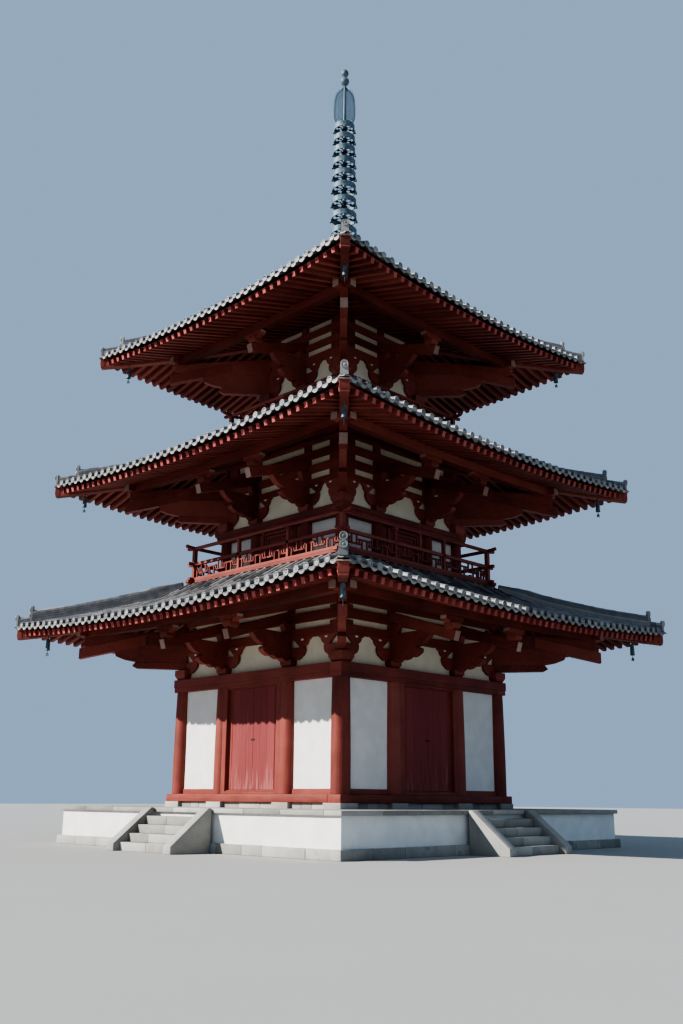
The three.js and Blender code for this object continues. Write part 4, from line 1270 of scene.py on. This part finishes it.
def buildBasin(f=finial):
    bm = bmesh.new()
    low, half = f["low"], f["half"]
    for past, z0, z1 in f["tiers"]:
        outer = half + past
        box(bm, (-outer, -outer, low + z0), (outer, outer, low + z1))
    first, apart, wide, z0, z1 = f["panels"]
    for quarter in range(4):
        for k in range(3):
            u = first + k * apart
            verts = box(bm, (u, -half + 0.028, low + z0), (u + wide, -half + 0.045, low + z1))
            bmesh.ops.rotate(bm, verts=verts, cent=(0, 0, 0), matrix=quarterTurn(quarter))
    bevelSharp(bm, 0.006)
    stamp(bm, turnedShape([(r, low + z) for r, z in f["bowl"]], 32))
    # lotus: eight broad petals, each in three folds, under a small seat
    for k in range(8):
        for fold, reach, drop in ((-1, 0.94, 0.012), (0, 1, 0), (1, 0.94, 0.012)):
            line = [(r * reach, low + z - drop) for r, z in f["petal"]]
            plate(bm, line, 0.1, Matrix.Rotation((k + fold * 0.28) * math.pi / 4, 4, "Z"))
    stamp(bm, turnedShape([(r, low + z) for r, z in f["seat"]], 24))
    makePiece("basin_bowl_and_lotus", bm, [bronze], ["dew_basin"])


# a ring's band is (in from the rim, down from its top), its hub (out from the shaft's middle, down)
ring = {"band": [(0.03, 0.19), (0.002, 0.19), (0, 0.182), (0.005, 0.155), (0.005, 0.035), (0, 0.008),
                 (0.002, 0), (0.03, 0), (0.022, 0.035), (0.022, 0.155), (0.03, 0.19)],
        "hub": [(0.05, 0.15), (0.1, 0.14), (0.1, 0.06), (0.05, 0.05)], "spokeThick": 0.016,
        "bell": [(0, 0.012), (0.01, 0.012), (0.012, 0), (0.026, -0.01), (0.032, -0.06), (0.042, -0.085),
                 (0.034, -0.083), (0.026, -0.055), (0, -0.04)], "bellDown": 0.19}


def ringSpoke(r, z):
    mid = (r + 0.08) / 2
    return [(0.09, z - 0.115), (mid - 0.06, z - 0.105), (mid, z - 0.14), (mid + 0.06, z - 0.105),
            (r - 0.02, z - 0.125), (r - 0.02, z - 0.07), (mid + 0.06, z - 0.085), (mid, z - 0.05),
            (mid - 0.06, z - 0.085), (0.09, z - 0.075)]


def buildRings(f=finial, g=ring):
    bm = bmesh.new()
    foot, top, shaft = f["low"] + f["shaftFoot"], f["flameLow"], f["shaft"]
    stamp(bm, turnedShape([(0, foot), (shaft, foot), (shaft * 0.7, top), (0, top)], 20, 1))
    bellShape = turnedShape(g["bell"], 12)
    for k, z in enumerate(f["rings"]):
        r = f["large"] + (f["small"] - f["large"]) * k / (len(f["rings"]) - 1)
        stamp(bm, turnedShape([(r - a, z - c) for a, c in g["band"]], 40))
        stamp(bm, turnedShape([(a, z - c) for a, c in g["hub"]], 20, 1))
        for spoke in range(8):
            turn = Matrix.Rotation(spoke * math.pi / 4 + math.pi / 8, 4, "Z")
            plate(bm, ringSpoke(r, z), g["spokeThick"], turn, 1)
        # little bells hang from hooks at four points of the rim
        for hang in range(4):
            a = hang * math.pi / 2 + math.pi / 4
            at = Vector((math.cos(a) * (r + 0.002), math.sin(a) * (r + 0.002), z - g["bellDown"]))
            stamp(bm, bellShape, Matrix.Translation(at))
            bar(bm, at + Vector((0, 0, 0.04)), at, 0.008, 0.008, 1)
    makePiece("nine_rings", bm, [bronze, darkBronze], ["nine_ring_spire"], smooth=40)


# flame: its edge is (half width, share of the height); the lower jewel counts up from the flame's top,
# the upper one down from the tip
flame = {"edge": [(0.3, 0), (0.34, 0.106), (0.345, 0.355), (0.325, 0.64), (0.265, 0.80), (0.15, 0.908),
                  (0.03, 1.0)],
         "rows": 16, "rim": (0.016, 0.024), "tongue": (0.012, 0.02), "curlThick": 0.014,
         "tongues": [(0.05, 0.5), (0.5, 0.95), (0.5, 0.05), (0.95, 0.5)],
         "curl": [(0, 0), (0.02, 0.012), (0.052, 0.05), (0.045, 0.085), (0.03, 0.062), (0.005, 0.05)],
         "lowerJewel": [(0.034, 0), (0.045, 0.05), (0.09, 0.09), (0.14, 0.17), (0.15, 0.24), (0.13, 0.3),
                        (0.085, 0.35), (0.045, 0.39)],
         "upperJewel": [(0.07, 0.28), (0.11, 0.245), (0.13, 0.17), (0.112, 0.1), (0.07, 0.05),
                        (0.03, 0.015), (0, 0)]}


def flameWidth(t, edge=flame["edge"]):
    for (r0, t0), (r1, t1) in zip(edge, edge[1:]):
        if t <= t1:
            return r0 + (r1 - r0) * (t - t0) / (t1 - t0)


# the openwork flame: four fins of crossing tongues inside a rim of curls
def buildFlame(f=finial, g=flame):
    bm = bmesh.new()
    z0, top, rows = f["flameLow"] + 0.0003, f["flameTop"], g["rows"]
    for quarter in range(4):
        fin = bmesh.new()
        for k in range(rows):
            low, high = z0 + k / rows * (top - z0), z0 + (k + 1) / rows * (top - z0)
            w0, w1 = flameWidth(k / rows), flameWidth((k + 1) / rows)
            bar(fin, (w0 - 0.012, 0, low), (w1 - 0.012, 0, high), *g["rim"])
            for a0, a1 in g["tongues"]:
                bar(fin, (max(0.04, w0 * a0), 0, low), (max(0.04, w1 * a1), 0, high), *g["tongue"])
            if 0 < k < rows - 1:
                plate(fin, [(w0 - 0.02 + a, low + c) for a, c in g["curl"]], g["curlThick"], still)
        stamp(bm, keepShape(fin), quarterTurn(quarter + 0.5, 4))
    stem = [(0, z0), (0.052, z0)] + [(r, top + z) for r, z in g["lowerJewel"]]
    stem += [(r, f["tip"] - z) for r, z in g["upperJewel"]]
    stamp(bm, turnedShape(stem, 28))
    makePiece("flame_and_two_jewels", bm, [bronze], ["flame_and_jewels"], smooth=45)


buildBasin()
buildRings()
buildFlame()
print("finial made")

# floor and studio light
studio = {"sun": 6.2, "sunTurn": (58.8, 0, -32.7), "sunSpread": 0.6, "sunColour": (1.0, 0.965, 0.91),
          "sky": (0.52, 0.73, 1.0), "skyLevel": 0.5, "floor": (0.42, 0.41, 0.39), "floorHalf": 160}


def buildStudio(g=studio):
    bm = bmesh.new()
    bmesh.ops.create_grid(bm, x_segments=2, y_segments=2, size=g["floorHalf"])
    mesh = bpy.data.meshes.new("floor")
    bm.to_mesh(mesh)
    bm.free()
    f = Finish("floor", Specular_IOR_Level=0.1)
    darker = tuple(c * 0.96 for c in g["floor"])
    mesh.materials.append(f.feed(f.mix(f.noise(0.4, 3), g["floor"], darker), 0.9))
    floor = bpy.data.objects.new("floor", mesh)
    floor.location.z = -0.002
    scene.collection.objects.link(floor)

    lamp = bpy.data.lights.new("key", "SUN")
    lamp.energy, lamp.angle, lamp.color = g["sun"], math.radians(g["sunSpread"]), g["sunColour"]
    key = bpy.data.objects.new("key", lamp)
    key.rotation_euler = [math.radians(a) for a in g["sunTurn"]]
    scene.collection.objects.link(key)

    world = bpy.data.worlds.new("studio")
    world.use_nodes = True
    back = world.node_tree.nodes["Background"]
    back.inputs["Color"].default_value = (*g["sky"], 1)
    back.inputs["Strength"].default_value = g["skyLevel"]
    scene.world = world
    scene.view_settings.view_transform, scene.view_settings.look = "AgX", "AgX - High Contrast"


buildStudio()
